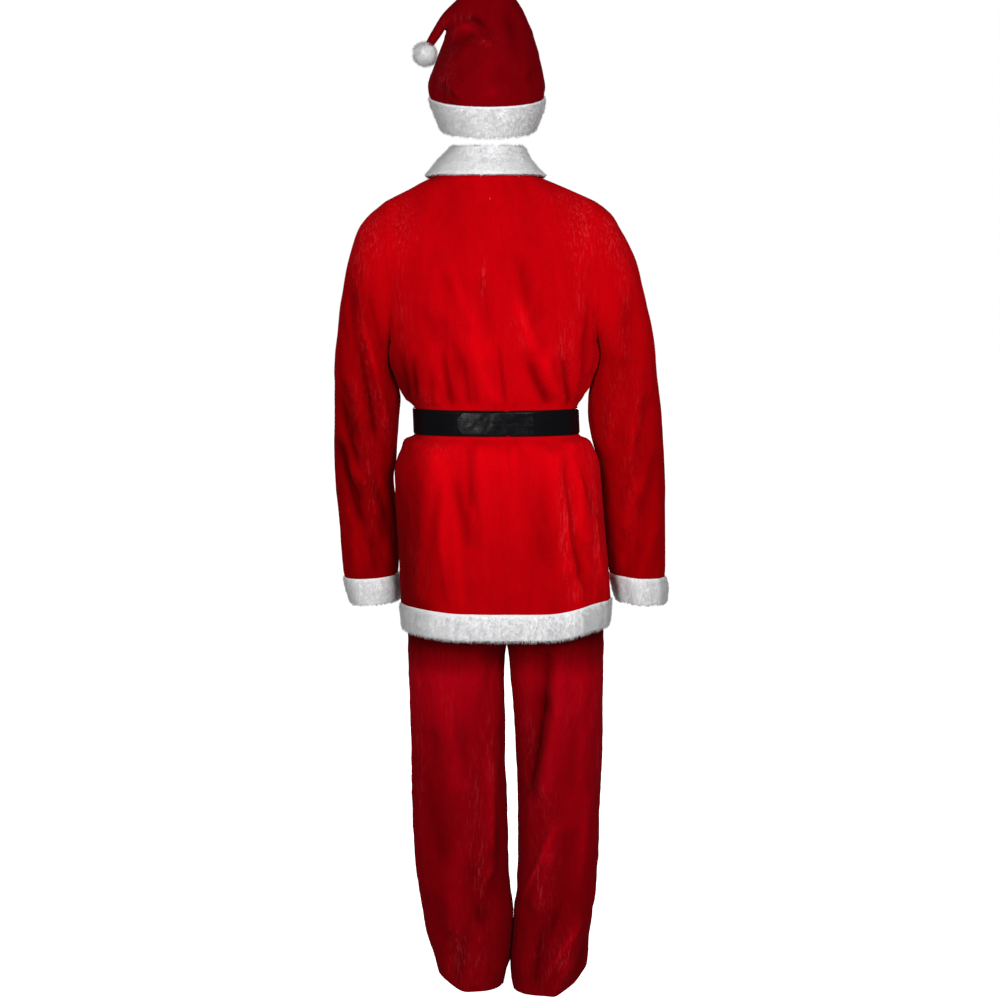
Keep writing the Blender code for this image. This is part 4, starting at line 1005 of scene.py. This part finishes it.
def lay_grid(name, p, round_it=False, ring=False, marks=()):
    """A grid primitive whose points are carried to the cut's places (millimetres).

    round_it joins the last column to the first, and ring the last row to the first.
    marks are named values at the points, for the materials.
    """
    if round_it:
        p = np.concatenate([p, p[:, :1]], 1)
        marks = [(word, np.concatenate([value, value[:, :1]], 1)) for word, value in marks]
    if ring:
        p = np.concatenate([p, p[:1]], 0)
    rows, cols = p.shape[:2]
    clear_selection()
    bpy.ops.mesh.primitive_grid_add(x_subdivisions=cols - 1, y_subdivisions=rows - 1, size=1)
    ob = bpy.context.object
    ob.name = ob.data.name = name
    if len(ob.data.vertices) != rows * cols:
        raise RuntimeError(f"{name}: the grid has {len(ob.data.vertices)} points")
    place(ob, p)
    for word, value in marks:
        mark = ob.data.attributes.new(word, "FLOAT", "POINT")
        mark.data.foreach_set("value", value.ravel().astype(np.float32))
    if round_it or ring:
        edit(bpy.ops.mesh.remove_doubles, threshold=MERGE)
    return ob


def place(ob, p):
    """Carries the points of a mesh to places in millimetres, with the figure's stance."""
    ob.data.vertices.foreach_set("co", (warp(p) * MM).ravel())
    ob.data.update()


def read(parts, word, size=3, kind=float):
    """A property of all points, faces or triangles of a mesh, one row for each."""
    values = np.zeros(len(parts) * size, kind)
    parts.foreach_get(word, values)
    return values.reshape(-1, size)


def face_out(ob, centre):
    """Turns an open cloth so that its faces look away from the row centres."""
    c, n = (read(ob.data.polygons, word) for word in ("center", "normal"))
    middle = warp(centre) * MM
    order = np.argsort(middle[:, 2])
    near = np.stack([np.interp(c[:, 2], middle[order, 2], middle[order, k]) for k in (0, 1)], 1)
    if np.sum(n[:, :2] * (c[:, :2] - near)) < 0:
        edit(bpy.ops.mesh.flip_normals)


def thicken(ob, wall):
    m = ob.modifiers.new("Wall", "SOLIDIFY")
    m.thickness, m.offset = wall, -1
    bpy.context.view_layer.objects.active = ob
    bpy.ops.object.modifier_apply(modifier=m.name)


def dress(ob, look, degrees):
    """Shades a piece smooth up to an angle, gives it its material and its body."""
    bpy.context.view_layer.objects.active = ob
    ob.select_set(True)
    bpy.ops.object.shade_smooth_by_angle(angle=math.radians(degrees))
    ob.data.materials.append(look)
    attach(ob, "root")


def cloth(name, panel, wall, look, round_it=False):
    """One panel of velvet: its outer side at the points, its wall inwards.

    A panel is its points, its row centres, and at the points the painted shade and highlight
    of its folds and sides and the strength of its painted sheen.
    """
    p, centre, marks = panel
    ob = lay_grid(f"{name}_velvet", p, round_it, marks=list(zip(("painted_light_tone", "painted_sheen"), marks)))
    face_out(ob, centre)
    thicken(ob, wall)
    dress(ob, look, 50)
    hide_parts(name)
    return ob


def signed_volume(ob):
    """The volume inside a closed mesh, below zero where its faces look inwards."""
    whole = bmesh.new()
    whole.from_mesh(ob.data)
    volume = whole.calc_volume(signed=True)
    whole.free()
    return volume


def band(name, grid, look, ring=True, kind="fur"):
    """A closed band of fur backing or vinyl."""
    ob = lay_grid(f"{name}_{kind}", grid if ring else closed_ends(grid), round_it=True, ring=ring)
    edit(bpy.ops.mesh.normals_make_consistent, inside=False)
    if signed_volume(ob) < 0:
        edit(bpy.ops.mesh.flip_normals)
    dress(ob, look, 60)
    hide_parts(name)
    return ob


def one_lock():
    """The points and faces of a lock of fur: a slim cone of three sides, one unit long."""
    clear_selection()
    bpy.ops.mesh.primitive_cone_add(vertices=3, radius1=1, radius2=0, depth=1,
                                    end_fill_type="NGON", location=(0, 0, 0))
    ob = bpy.context.object
    edit(bpy.ops.mesh.quads_convert_to_tris)
    points = np.array([v.co[:] for v in ob.data.vertices]) + (0, 0, 0.5)
    # The face at the root is never seen.
    faces = np.array([p.vertices[:] for p in ob.data.polygons
                      if points[list(p.vertices), 2].max() > 0.5])
    bpy.ops.object.delete()
    return points, faces


def roots_on(ob, per_cm2, seed, inner):
    """Seeded random places on a mesh, with the face normals there, in metres.

    inner is the share of places kept on the side that faces the wearer.
    """
    mesh = ob.data
    mesh.calc_loop_triangles()
    tri = read(mesh.loop_triangles, "vertices", kind=int)
    co, no = (read(mesh.vertices, word) for word in ("co", "normal"))
    a, b, c = (co[tri[:, k]] for k in range(3))
    area = np.linalg.norm(np.cross(b - a, c - a), axis=1) / 2
    rng = np.random.default_rng(seed)
    count = int(area.sum() * 1e4 * per_cm2)
    pick = rng.choice(len(tri), count, p=area / area.sum())
    s, t = np.sqrt(rng.random(count)), rng.random(count)
    w = np.stack([1 - s, s * (1 - t), s * t], 1)[:, :, None]
    root = (co[tri[pick]] * w).sum(1)
    normal = unit((no[tri[pick]] * w).sum(1))
    away = root - co.mean(0)
    outside = np.sum(normal[:, :2] * unit(away[:, :2]), 1) > -0.3
    kept = outside | (rng.random(count) < inner)
    return root[kept], normal[kept], rng


def pile(name, ob, looks, seed, per_cm2, long, wide, fall=0.45, inner=0.12, tuft=0.2,
         top=0.2, bottom=0.8):
    """Locks of fur that stand on a band, lean together in tufts and hang a little.

    top and bottom are how long they are on the band's upper and lower edges.
    """
    root, normal, rng = roots_on(ob, per_cm2, seed, inner)
    count, q = len(root), root / MM
    lean = np.stack([waves(q, 15, seed + k, count=7) + 0.6 * waves(q, 38, seed + 9 + k, count=7)
                     for k in (1, 2, 3)], 1)
    way = normal * 0.8 + tuft * lean + rng.normal(size=root.shape) * 0.18
    way[:, 2] -= fall
    # No lock points back into its own band.
    inward = np.minimum(np.sum(way * normal, 1) - 0.3, 0)
    way = unit(way - inward[:, None] * normal)
    rise = normal[:, 2]
    edge = 1 - (1 - top) * ease((rise - 0.15) / 0.5) - (1 - bottom) * ease((-rise - 0.15) / 0.5)
    size = long * (0.7 + 0.45 * rng.random(count)) * (1 + 0.12 * waves(q, 22, seed + 5)) * edge
    side = unit(np.cross(way, rng.normal(size=way.shape)))
    other = np.cross(way, side)
    width = (wide * 0.5 * (0.8 + 0.4 * rng.random(count)))[:, None]
    base = root - normal * LOCK_ROOT
    points, faces = one_lock()
    axes = np.stack([side * width, other * width, way * (size + LOCK_ROOT)[:, None]], 1)
    co = base[:, None] + points @ axes
    tri = faces[None] + (np.arange(count) * len(points))[:, None, None]
    mesh = bpy.data.meshes.new(name)
    mesh.from_pydata(co.reshape(-1, 3).tolist(), [], tri.reshape(-1, 3).tolist())
    for look in looks:
        mesh.materials.append(look)
    tone = np.repeat(rng.integers(0, len(looks), count), len(faces))
    mesh.polygons.foreach_set("material_index", tone.astype(np.int32))
    mesh.polygons.foreach_set("use_smooth", np.ones(len(tone), bool))
    # Each lock takes most of its shading from the band that it stands on.
    middle = base + way * (size * 0.5)[:, None]
    soft = unit(0.9 * normal[:, None] + 0.2 * way[:, None] + 0.32 * unit(co - middle[:, None]))
    mesh.normals_split_custom_set_from_vertices(soft.reshape(-1, 3).tolist())
    fur = bpy.data.objects.new(name, mesh)
    bpy.context.scene.collection.objects.link(fur)
    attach(fur, "root")


# ---- materials ---------------------------------------------------------------------

def feed(tree, socket, value):
    """Links a socket to another one, or sets it to a plain value."""
    if isinstance(value, bpy.types.NodeSocket):
        tree.links.new(value, socket)
    else:
        socket.default_value = value


def node_material(name, **sockets):
    m = bpy.data.materials.new(name)
    m.use_nodes = True
    shader = m.node_tree.nodes["Principled BSDF"]
    for key, value in sockets.items():
        shader.inputs[key.replace("_", " ")].default_value = value
    return m, m.node_tree, shader


def noise(tree, scale, stretch=(1, 1, 1), detail=3.0, rough=0.55, swirl=0.0):
    """A noise over the piece's own coordinates; stretch below 1 draws it out."""
    coord, mapping, tex = (tree.nodes.new(f"ShaderNode{kind}")
                           for kind in ("TexCoord", "Mapping", "TexNoise"))
    for node, key, value in (
            (mapping, "Vector", coord.outputs["Object"]), (mapping, "Scale", stretch),
            (tex, "Vector", mapping.outputs["Vector"]), (tex, "Scale", scale),
            (tex, "Detail", detail), (tex, "Roughness", rough), (tex, "Distortion", swirl)):
        feed(tree, node.inputs[key], value)
    return tex.outputs["Fac"]


def ramp(tree, value, *stops):
    """A colour ramp over a value; a stop's colour may be one number, for a grey."""
    node = tree.nodes.new("ShaderNodeValToRGB")
    bar = node.color_ramp
    while len(bar.elements) < len(stops):
        bar.elements.new(0.5)
    for e, (at, colour) in zip(bar.elements, stops):
        e.position, e.color = at, (*np.broadcast_to(colour, 3), 1)
    feed(tree, node.inputs["Fac"], value)
    return node.outputs["Color"]


def mixed(tree, kind, share, a, b):
    """Colour b laid over colour a by a share; each is a socket or a plain value."""
    node = tree.nodes.new("ShaderNodeMix")
    node.data_type, node.blend_type = "RGBA", kind
    for key, value in (("Factor", share), ("A", a), ("B", b)):
        feed(tree, node.inputs[key], value)
    return node.outputs["Result"]


def bumps(tree, shader, *layers):
    """Bump from (value, strength, depth in metres) layers, the broadest first."""
    last = None
    for value, strength, depth in layers:
        node = tree.nodes.new("ShaderNodeBump")
        for key, feature in (("Strength", strength), ("Distance", depth), ("Height", value)):
            feed(tree, node.inputs[key], feature)
        if last is not None:
            feed(tree, node.inputs["Normal"], last)
        last = node.outputs["Normal"]
    feed(tree, shader.inputs["Normal"], last)


def mathed(tree, kind, *values):
    """A maths node on two or three values, each a socket or a number."""
    node = tree.nodes.new("ShaderNodeMath")
    node.operation = kind
    for socket, value in zip(node.inputs, values):
        feed(tree, socket, value)
    return node.outputs[0]


def mark_of(tree, word):
    """One of the values that the points of a cloth carry."""
    node = tree.nodes.new("ShaderNodeAttribute")
    node.attribute_name = word
    return node.outputs["Fac"]


def velvet(name, red, sheen):
    """Crushed velvet: painted shade and highlight from the points' tone, with fine strokes of
    painted sheen.
    """
    m, tree, shader = node_material(
        name, Roughness=0.85, Specular_IOR_Level=0.0, Sheen_Weight=sheen,
        Sheen_Roughness=0.45, Sheen_Tint=(1, 0.12, 0.16, 1))
    red = np.array(red)
    lie = noise(tree, 4.5, stretch=(1, 1, 0.5), rough=0.5, swirl=0.6)
    streaks = noise(tree, 36, stretch=(1, 1, 0.22), detail=4, rough=0.6, swirl=0.9)
    nap = noise(tree, 380, stretch=(1, 1, 0.5), detail=2, rough=0.6, swirl=0.4)
    strokes = noise(tree, 250, stretch=(1, 1, 0.13), rough=0.75, swirl=0.12)
    # Flat cloth, where both noises are 0.5, comes to 0.5 on the ramp.
    lie_share, streak_share = 0.12, 0.16
    # The points' tone paints shade in troughs and on shaded sides and highlight on ridges and lit
    # sides.
    value = mathed(tree, "MULTIPLY_ADD", mark_of(tree, "painted_light_tone"), 0.15,
                   0.5 - (lie_share + streak_share) / 2)
    value = mathed(tree, "MULTIPLY_ADD", lie, lie_share, value)
    value = mathed(tree, "MULTIPLY_ADD", streaks, streak_share, value)
    broad = ramp(tree, value, (0.0, red * 0.2), (0.35, red * 0.66), (0.5, red), (0.8, red * 1.5))
    base = mixed(tree, "MULTIPLY", 1.0, broad, ramp(tree, nap, (0.3, 0.9), (0.7, 1.0)))
    # Painted sheen: light pinkish strokes where the pile catches the light.
    share = mathed(tree, "MULTIPLY", ramp(tree, strokes, (0.5, 0), (0.8, 1)),
                   mathed(tree, "MULTIPLY_ADD", mark_of(tree, "painted_sheen"), 0.7, 0.015))
    painted_sheen_red = (*(red * 1.25 + (0.24, 0.06, 0.07)), 1)
    feed(tree, shader.inputs["Base Color"], mixed(tree, "MIX", share, base, painted_sheen_red))
    bumps(tree, shader, (streaks, 0.2, 0.004), (nap, 0.2, 0.0006))
    return m


def fur_backing(name, white):
    """The felted floor of the fur, seen between its locks."""
    m, tree, shader = node_material(name, Roughness=1.0, Specular_IOR_Level=0.1)
    white = np.array(white)
    tufts = noise(tree, 130, detail=4, rough=0.65, swirl=0.8)
    fibre = noise(tree, 800, stretch=(1, 1, 0.4), detail=2, rough=0.6)
    feed(tree, shader.inputs["Base Color"], ramp(tree, tufts, (0.3, white * 0.92), (0.65, white)))
    bumps(tree, shader, (tufts, 0.5, 0.003), (fibre, 0.5, 0.001))
    return m


def lock_look(name, white, share):
    return node_material(name, Base_Color=(*(np.array(white) * share), 1), Roughness=0.95,
                         Specular_IOR_Level=0.1)[0]


def vinyl(name, black, roughness, scuffed):
    """Coated cloth, smooth or, where it is handled, scuffed and wrinkled."""
    m, tree, shader = node_material(name, Specular_IOR_Level=0.04 + 0.05 * scuffed)
    black = np.array(black)
    rub = noise(tree, 46, stretch=(1, 1, 2.0), detail=6, rough=0.7, swirl=1.4)
    grain = noise(tree, 420, detail=2)
    swell = noise(tree, 26, stretch=(1, 1, 0.8), detail=2)
    feed(tree, shader.inputs["Base Color"],
         ramp(tree, rub, (0.52, black), (0.72, black + 0.004 * scuffed)))
    feed(tree, shader.inputs["Roughness"],
         ramp(tree, rub, (0.4, roughness), (0.72, roughness + 0.2)))
    bumps(tree, shader, (swell, 0.15 + 0.6 * scuffed, 0.006), (rub, 0.25 * scuffed, 0.001),
          (grain, 0.12, 0.0003))
    return m


def shared(name, make, *values):
    """A material by name, made the first time it is asked for."""
    return bpy.data.materials.get(name) or make(name, *values)


def jacket_velvet(v):
    return shared("jacket_velvet", velvet, v.jacket_red, v.sheen)


def deep_velvet(v):
    return shared("deep_velvet", velvet, v.deep_red, v.sheen)


def fur_looks(f):
    backing = shared("fur_backing", fur_backing, f.colour)
    locks = [shared(f"fur_lock_{word}", lock_look, f.colour, share)
             for word, share in (("light", 1.0), ("middle", 0.97), ("shaded", 0.93))]
    return backing, locks


# ---- operators ---------------------------------------------------------------------

def furnish(ob, f, locks, seed, **options):
    """Gives a fur band its pile of locks."""
    pile(f"{ob.name}_locks", ob, locks, seed, f.density, f.pile, f.lock, **options)


class SUIT_OT_jacket(bpy.types.Operator):
    """Make the two back panels and two front panels of the jacket"""
    bl_idname = "suit.jacket"
    bl_label = "Jacket body"

    def execute(self, context):
        v = context.scene.suit_velvet
        for hand, word in HANDS.items():
            for side, where in SIDES.items():
                p, *rest = torso_panel(side, hand, v.cell / MM, v.rumple / MM)
                ob = cloth(f"jacket_{where}_{word}", (skirt_drape(p), *rest), v.wall,
                           jacket_velvet(v))
        return {"FINISHED"}


class SUIT_OT_sleeves(bpy.types.Operator):
    """Make the two sleeves, each from its armhole to its cuff"""
    bl_idname = "suit.sleeves"
    bl_label = "Sleeves"

    def execute(self, context):
        v = context.scene.suit_velvet
        for hand, word in HANDS.items():
            p, centre, marks = sleeve_grid(hand, v.cell / MM, v.rumple / MM)
            ob = cloth(f"sleeve_{word}", (cuff_drape(p), cuff_drape(centre), marks), v.wall,
                       jacket_velvet(v), round_it=True)
        return {"FINISHED"}


class SUIT_OT_trousers(bpy.types.Operator):
    """Make the front and back of both trouser legs and the waistband"""
    bl_idname = "suit.trousers"
    bl_label = "Trousers"

    def execute(self, context):
        v = context.scene.suit_velvet
        for hand, word in HANDS.items():
            for side, where in SIDES.items():
                ob = cloth(f"trousers_{where}_{word}",
                           leg_panel(side, hand, v.cell / MM, v.rumple / MM), v.wall,
                           deep_velvet(v))
        ob = self.waistband(deep_velvet(v))
        return {"FINISHED"}

    def waistband(self, look):
        """A gathered band round the top of the trousers."""
        a = np.linspace(0, 2 * math.pi, 181)[:-1]
        half_x, back, front = (LEG[k][-1] for k in ("outer_left", "back", "front"))
        ring = oval(a, half_x, 1.0, LEG_POWER)
        ring[:, 1] *= np.where(ring[:, 1] > 0, back, front)
        ring = np.column_stack([ring, np.full(len(a), WAISTBAND_TOP)])
        out = ring_sides(ring)
        gathers = 0.32 * np.sin(a * 46)[:, None]
        low = 1 - WAISTBAND_HEIGHT
        profile = rounded([(0.2, -1), (0.2, low), (-1.5, low - 1), (-3.0, low), (-3.0, -1),
                           (-1.5, 0)], count=26)
        return band("trousers_waistband", band_grid(ring - gathers * out, out, profile), look,
                    kind="velvet")


class SUIT_OT_hat(bpy.types.Operator):
    """Make the front and back of the hat with its folded-over tail"""
    bl_idname = "suit.hat"
    bl_label = "Hat"

    def execute(self, context):
        v = context.scene.suit_velvet
        for side, where in SIDES.items():
            # The hat's velvet is thinner and its mesh finer than the suit's.
            ob = cloth(f"hat_{where}", hat_panel(side, 0.8 * v.cell / MM, v.rumple / MM),
                       0.8 * v.wall, deep_velvet(v))
        return {"FINISHED"}


class SUIT_OT_fur_trim(bpy.types.Operator):
    """Make the collar, cuffs, hem band, hat band and pompom of fur"""
    bl_idname = "suit.fur_trim"
    bl_label = "Fur trim"

    def execute(self, context):
        v, f = context.scene.suit_velvet, context.scene.suit_fur
        backing, locks = fur_looks(f)
        mesh = v.cell / MM, v.rumple / MM
        furnish(self.hem_band(mesh, backing), f, locks, seed=301, fall=0.5, tuft=0.28,
                bottom=1.15)
        for hand, seed in ((1, 340), (-1, 360)):
            furnish(self.cuff(hand, mesh, backing), f, locks, seed=seed)
        furnish(self.collar(backing), f, locks, seed=401, fall=0.35, inner=0.6, top=0.85,
                bottom=0.6)
        furnish(self.hat_band(backing), f, locks, seed=431, fall=0.4, tuft=0.4, bottom=1.0)
        ob = self.pompom(backing)
        # The pompom's locks are closer and longer than the bands', and stand all round.
        pile("hat_pompom_locks", ob, locks, 461, 2.4 * f.density, 1.5 * f.pile, f.lock,
             fall=0.12, tuft=0.28, inner=1.0, top=1.0, bottom=1.0)
        return {"FINISHED"}

    def hem_band(self, mesh, backing):
        """The band along the jacket's hem, from the front's middle round to it again."""
        half = {}
        for hand in HANDS:
            back, front = (torso_panel(side, hand, *mesh)[0][0] for side in SIDES)
            half[hand] = np.concatenate([back, front[-2::-1]])
        ring = spread(np.concatenate([half[-1][::-1], half[1][1:]]), HEM_POINTS)
        for end, beside in ((0, 1), (-1, -2)):
            ring[end, 0] = math.copysign(SEAM + 1, ring[beside, 0])
        ring[:, 2] = JACKET_HEM_Z - SEAM
        out = open_ring_sides(ring)
        sideways = out[:, 0] ** 4
        profile = [fur_profile(FUR * (1 - 0.4 * s), HEM_BAND_HEIGHT - HEM_LOCKS, 2 - 6 * s)
                   for s in sideways]
        return band("hem_band", skirt_drape(band_grid(ring - out, out, profile)), backing,
                    ring=False)

    def cuff(self, hand, mesh, backing):
        """The band round a sleeve's end, which leans in on the side towards +X."""
        ring = closed_ring(sleeve_grid(hand, *mesh)[0][-1], CUFF_POINTS)
        ring[:, 2] -= SEAM
        out = ring_sides(ring)
        profile = [fur_profile(FUR * 0.85, CUFF_HEIGHT, -11 * max(0, s) ** 2) for s in out[:, 0]]
        return band(f"cuff_{HANDS[hand]}", cuff_drape(band_grid(ring - 1.5 * out, out, profile)),
                    backing)

    def collar(self, backing):
        """The collar stands up round the neck, leans in, and is open at the front."""
        turn = np.linspace(0, 1, 60)
        front, back = neck_point(turn, -1), neck_point(turn, 1)
        left = np.concatenate([front, back[-2::-1]])
        ring = spread(np.concatenate([left, left[-2::-1] * (-1, 1, 1)]), COLLAR_POINTS)
        ring[0, 0], ring[-1, 0] = SEAM + 1, -SEAM - 1
        out = open_ring_sides(ring)
        side = np.abs(out[:, :1])
        flat = np.abs(ring[:, 0]) / NECK_HALF_WIDTH
        corners = np.tile([(-3, 1.4), (14, 1.8), (7, 14), (-10, 32), (-26, 51), (-34, 47),
                           (-22, 26.0)], (len(ring), 1, 1))
        corners[:, 3:, 0] *= 0.55 + 0.45 * side ** 1.5
        corners[:, 1, 1] += np.where(ring[:, 1] > 0, -3.5 + 2.5 * flat, -1.0)
        corners[:, 1] += side ** 12 * (5.0, -3.8)
        corners[:, 2, 0] -= 2.5 * out[:, 0] ** 2
        corners[:, :2, 1] += 1.8 * ease(-ring[:, 1:2] / 40)
        profile = [drawn_in(rounded(c, count=44), by=3.6) for c in corners]
        return band("collar", band_grid(ring, out, profile), backing, ring=False)

    def hat_band(self, backing):
        """The band round the hat's edge, which leans in towards the head."""
        back, front = (hat_row(0, side, 60)[0] for side in SIDES)
        ring = closed_ring(np.concatenate([back, front[::-1]]), HAT_BAND_POINTS)
        ring[:, 2] -= SEAM
        h = HAT_BAND_HEIGHT
        profile = drawn_in(rounded(
            [(-7, -0.1 * h), (-2, 0), (2, -0.05 * h), (-2, -0.35 * h), (-10.5, -0.7 * h),
             (-17, -0.95 * h), (-21, -h), (-25, -0.9 * h), (-15, -0.4 * h)], count=44), by=3.0)
        return band("hat_band", hat_tilt(band_grid(ring, ring_sides(ring), profile)), backing)

    def pompom(self, backing):
        """The pompom's soft core, hung from the tail's tip."""
        tip = hat_tilt(hat_row(HAT["row"][-1], 1, 6)[1])
        clear_selection()
        bpy.ops.mesh.primitive_ico_sphere_add(subdivisions=4, radius=1)
        ob = bpy.context.object
        ob.name = ob.data.name = "hat_pompom_fur"
        n = unit(read(ob.data.vertices, "co"))
        size = POMPOM_CORE * (0.98 + 0.08 * waves(n * 20, size=16, seed=7))
        core = n * size[:, None] * (1.22, 1.05, 1.3)
        place(ob, tip + (7.5, 0.0, -4.0 - POMPOM_CORE) + core)
        dress(ob, backing, 60)
        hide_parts("hat_pompom")
        return ob


class SUIT_OT_belt(bpy.types.Operator):
    """Make the vinyl belt and, at the back, the tab that closes it"""
    bl_idname = "suit.belt"
    bl_label = "Belt"

    def execute(self, context):
        b = context.scene.suit_belt
        half = BELT_HEIGHT / 2
        length = lengths(self.line(0))[-1]
        # The belt's two ends stop beside each other under the tab.
        at = np.linspace(BELT_START, length + BELT_END, BELT_POINTS)
        look = shared("belt_vinyl", vinyl, b.colour, b.roughness, 0.0)
        ob = self.strap("belt", BELT_OFF, at, np.full(len(at), half), look)
        at = length + np.linspace(-TAB_TO_X, -TAB_FROM_X, TAB_POINTS)
        # The tab is a little narrower than the belt, and its free end is rounded.
        reach = half - 1.5 - 11 * np.clip(1 - (at - at[0]) / 12, 0, 1) ** 2
        look = shared("tab_vinyl", vinyl, b.colour, b.roughness, 1.0)
        ob = self.strap("belt_tab", BELT_OFF + BELT_THICK + SEAM, at, reach, look)
        return {"FINISHED"}

    def line(self, off):
        """The jacket's waist, moved out, from the middle of the back all round."""
        back, front = (torso_arc(BELT_Z, side, 1, np.linspace(0, 1, 80)) for side in SIDES)
        half = np.concatenate([back, front[-2::-1]])
        half[0, 0] = half[-1, 0] = 0
        line = np.concatenate([half * (-1, 1, 1), half[-2::-1]])
        around = ring_sides(line[:-1])
        return line + off * np.concatenate([around, around[:1]])

    def strap(self, name, off, at, reach, look):
        """A strip of vinyl on the waist, at distances along it; reach is half its height."""
        line = self.line(off)
        ring = points_at(line, np.mod(at, lengths(line)[-1]))
        out = ring_sides(ring, closed=False)
        if np.sum(out[:, :2] * ring[:, :2]) < 0:
            out = -out
        t = BELT_THICK
        profile = [rounded([(0.1, -r), (0.1, -r / 3), (0.1, r / 3), (0.1, r), (t * 0.7, r),
                            (t, r - 2.0), (t, r / 3), (t, -r / 3), (t, -r + 2.0),
                            (t * 0.7, -r)], count=36) for r in reach]
        ob = band(name, band_grid(ring, out, profile), look, ring=False, kind="vinyl")
        return ob


def aimed(name, data, place, aim):
    """Adds a light or a camera at a place, turned towards a point."""
    ob = bpy.data.objects.new(name, data)
    bpy.context.scene.collection.objects.link(ob)
    ob.location = place
    x, y, z = np.subtract(aim, place)
    ob.rotation_euler = (math.atan2(math.hypot(x, y), -z), 0, math.atan2(-x, y))
    return ob


class SUIT_OT_stage(bpy.types.Operator):
    """Make the floor, the soft studio light and the camera"""
    bl_idname = "suit.stage"
    bl_label = "Stage"

    def execute(self, context):
        s = context.scene.suit_stage
        scene = context.scene
        self.floor(s.floor_z)
        # Two soft lights behind the wearer, and the same two in front.
        for name, place, power in (
                ("key_light", (-1.2, 3.1, 0.8), 60), ("fill_light", (1.4, 4.3, 0.1), 80),
                ("front_key", (1.2, -3.1, 0.8), 60), ("front_fill", (-1.4, -4.3, 0.1), 80)):
            light = bpy.data.lights.new(name, "AREA")
            light.shape, light.size, light.energy = "DISK", 1.2, power
            aimed(name, light, place, (0, 0, -0.5))
        scene.world = self.studio()
        scene.view_settings.view_transform = "Standard"
        camera = bpy.data.cameras.new("camera")
        camera.lens, camera.sensor_width = s.lens, 36
        scene.camera = aimed("camera", camera, (-0.0216, s.distance, -0.13), (-0.0216, 0, -0.58))
        return {"FINISHED"}

    def floor(self, height):
        """A wide pale floor."""
        clear_selection()
        bpy.ops.mesh.primitive_plane_add(size=40, location=(0, 0, 0))
        floor = bpy.context.object
        floor.name = "floor"
        co = read(floor.data.vertices, "co")
        co[:, 2] = height
        floor.data.vertices.foreach_set("co", co.ravel())
        paint, tree, shader = node_material(
            "floor_paint", Base_Color=(0.6, 0.6, 0.6, 1), Roughness=0.95,
            Emission_Color=(1, 1, 1, 1))
        # The floor looks white to the camera but lights the suit as a grey one would.
        seen = tree.nodes.new("ShaderNodeLightPath").outputs["Is Camera Ray"]
        feed(tree, shader.inputs["Emission Strength"], seen)
        floor.data.materials.append(paint)

    def studio(self):
        """A world that looks white but lights the suit dimly."""
        world = bpy.data.worlds.new("studio")
        world.use_nodes = True
        tree = world.node_tree
        dim, seen = tree.nodes["Background"], tree.nodes.new("ShaderNodeBackground")
        both = tree.nodes.new("ShaderNodeMixShader")
        path = tree.nodes.new("ShaderNodeLightPath")
        for node, strength in ((dim, 0.21), (seen, 1.0)):
            node.inputs["Color"].default_value = (1, 1, 1, 1)
            node.inputs["Strength"].default_value = strength
        for socket, value in zip(both.inputs, (path.outputs["Is Camera Ray"], dim.outputs[0],
                                               seen.outputs[0])):
            feed(tree, socket, value)
        feed(tree, tree.nodes["World Output"].inputs["Surface"], both.outputs[0])
        return world


class SUIT_PT_panel(bpy.types.Panel):
    """Lists the suit's pieces in the 3D view's sidebar"""
    bl_label = "Santa suit"
    bl_idname = "SUIT_PT_panel"
    bl_space_type = "VIEW_3D"
    bl_region_type = "UI"
    bl_category = "Santa suit"

    def draw(self, context):
        for name in GROUPS:
            box = self.layout.box()
            values = getattr(context.scene, name)
            for key in values.__annotations__:
                box.prop(values, key)
        for operator in OPERATORS:
            self.layout.operator(operator.bl_idname)


GROUPS = {"suit_velvet": SuitVelvet, "suit_fur": SuitFur, "suit_belt": SuitBelt,
          "suit_stage": SuitStage}
OPERATORS = (SUIT_OT_stage, SUIT_OT_jacket, SUIT_OT_sleeves, SUIT_OT_trousers, SUIT_OT_hat,
             SUIT_OT_fur_trim, SUIT_OT_belt)


def register():
    for cls in (*GROUPS.values(), *OPERATORS, SUIT_PT_panel):
        bpy.utils.register_class(cls)
    for name, group in GROUPS.items():
        setattr(bpy.types.Scene, name, bpy.props.PointerProperty(type=group))


def unregister():
    for name in GROUPS:
        delattr(bpy.types.Scene, name)
    for cls in (SUIT_PT_panel, *OPERATORS[::-1], *list(GROUPS.values())[::-1]):
        bpy.utils.unregister_class(cls)


def main():
    register()
    bpy.ops.suit.stage()
    bpy.ops.suit.jacket()
    bpy.ops.suit.sleeves()
    bpy.ops.suit.trousers()
    bpy.ops.suit.hat()
    bpy.ops.suit.fur_trim()
    bpy.ops.suit.belt()
    clear_selection()


if __name__ == "__main__":
    main()
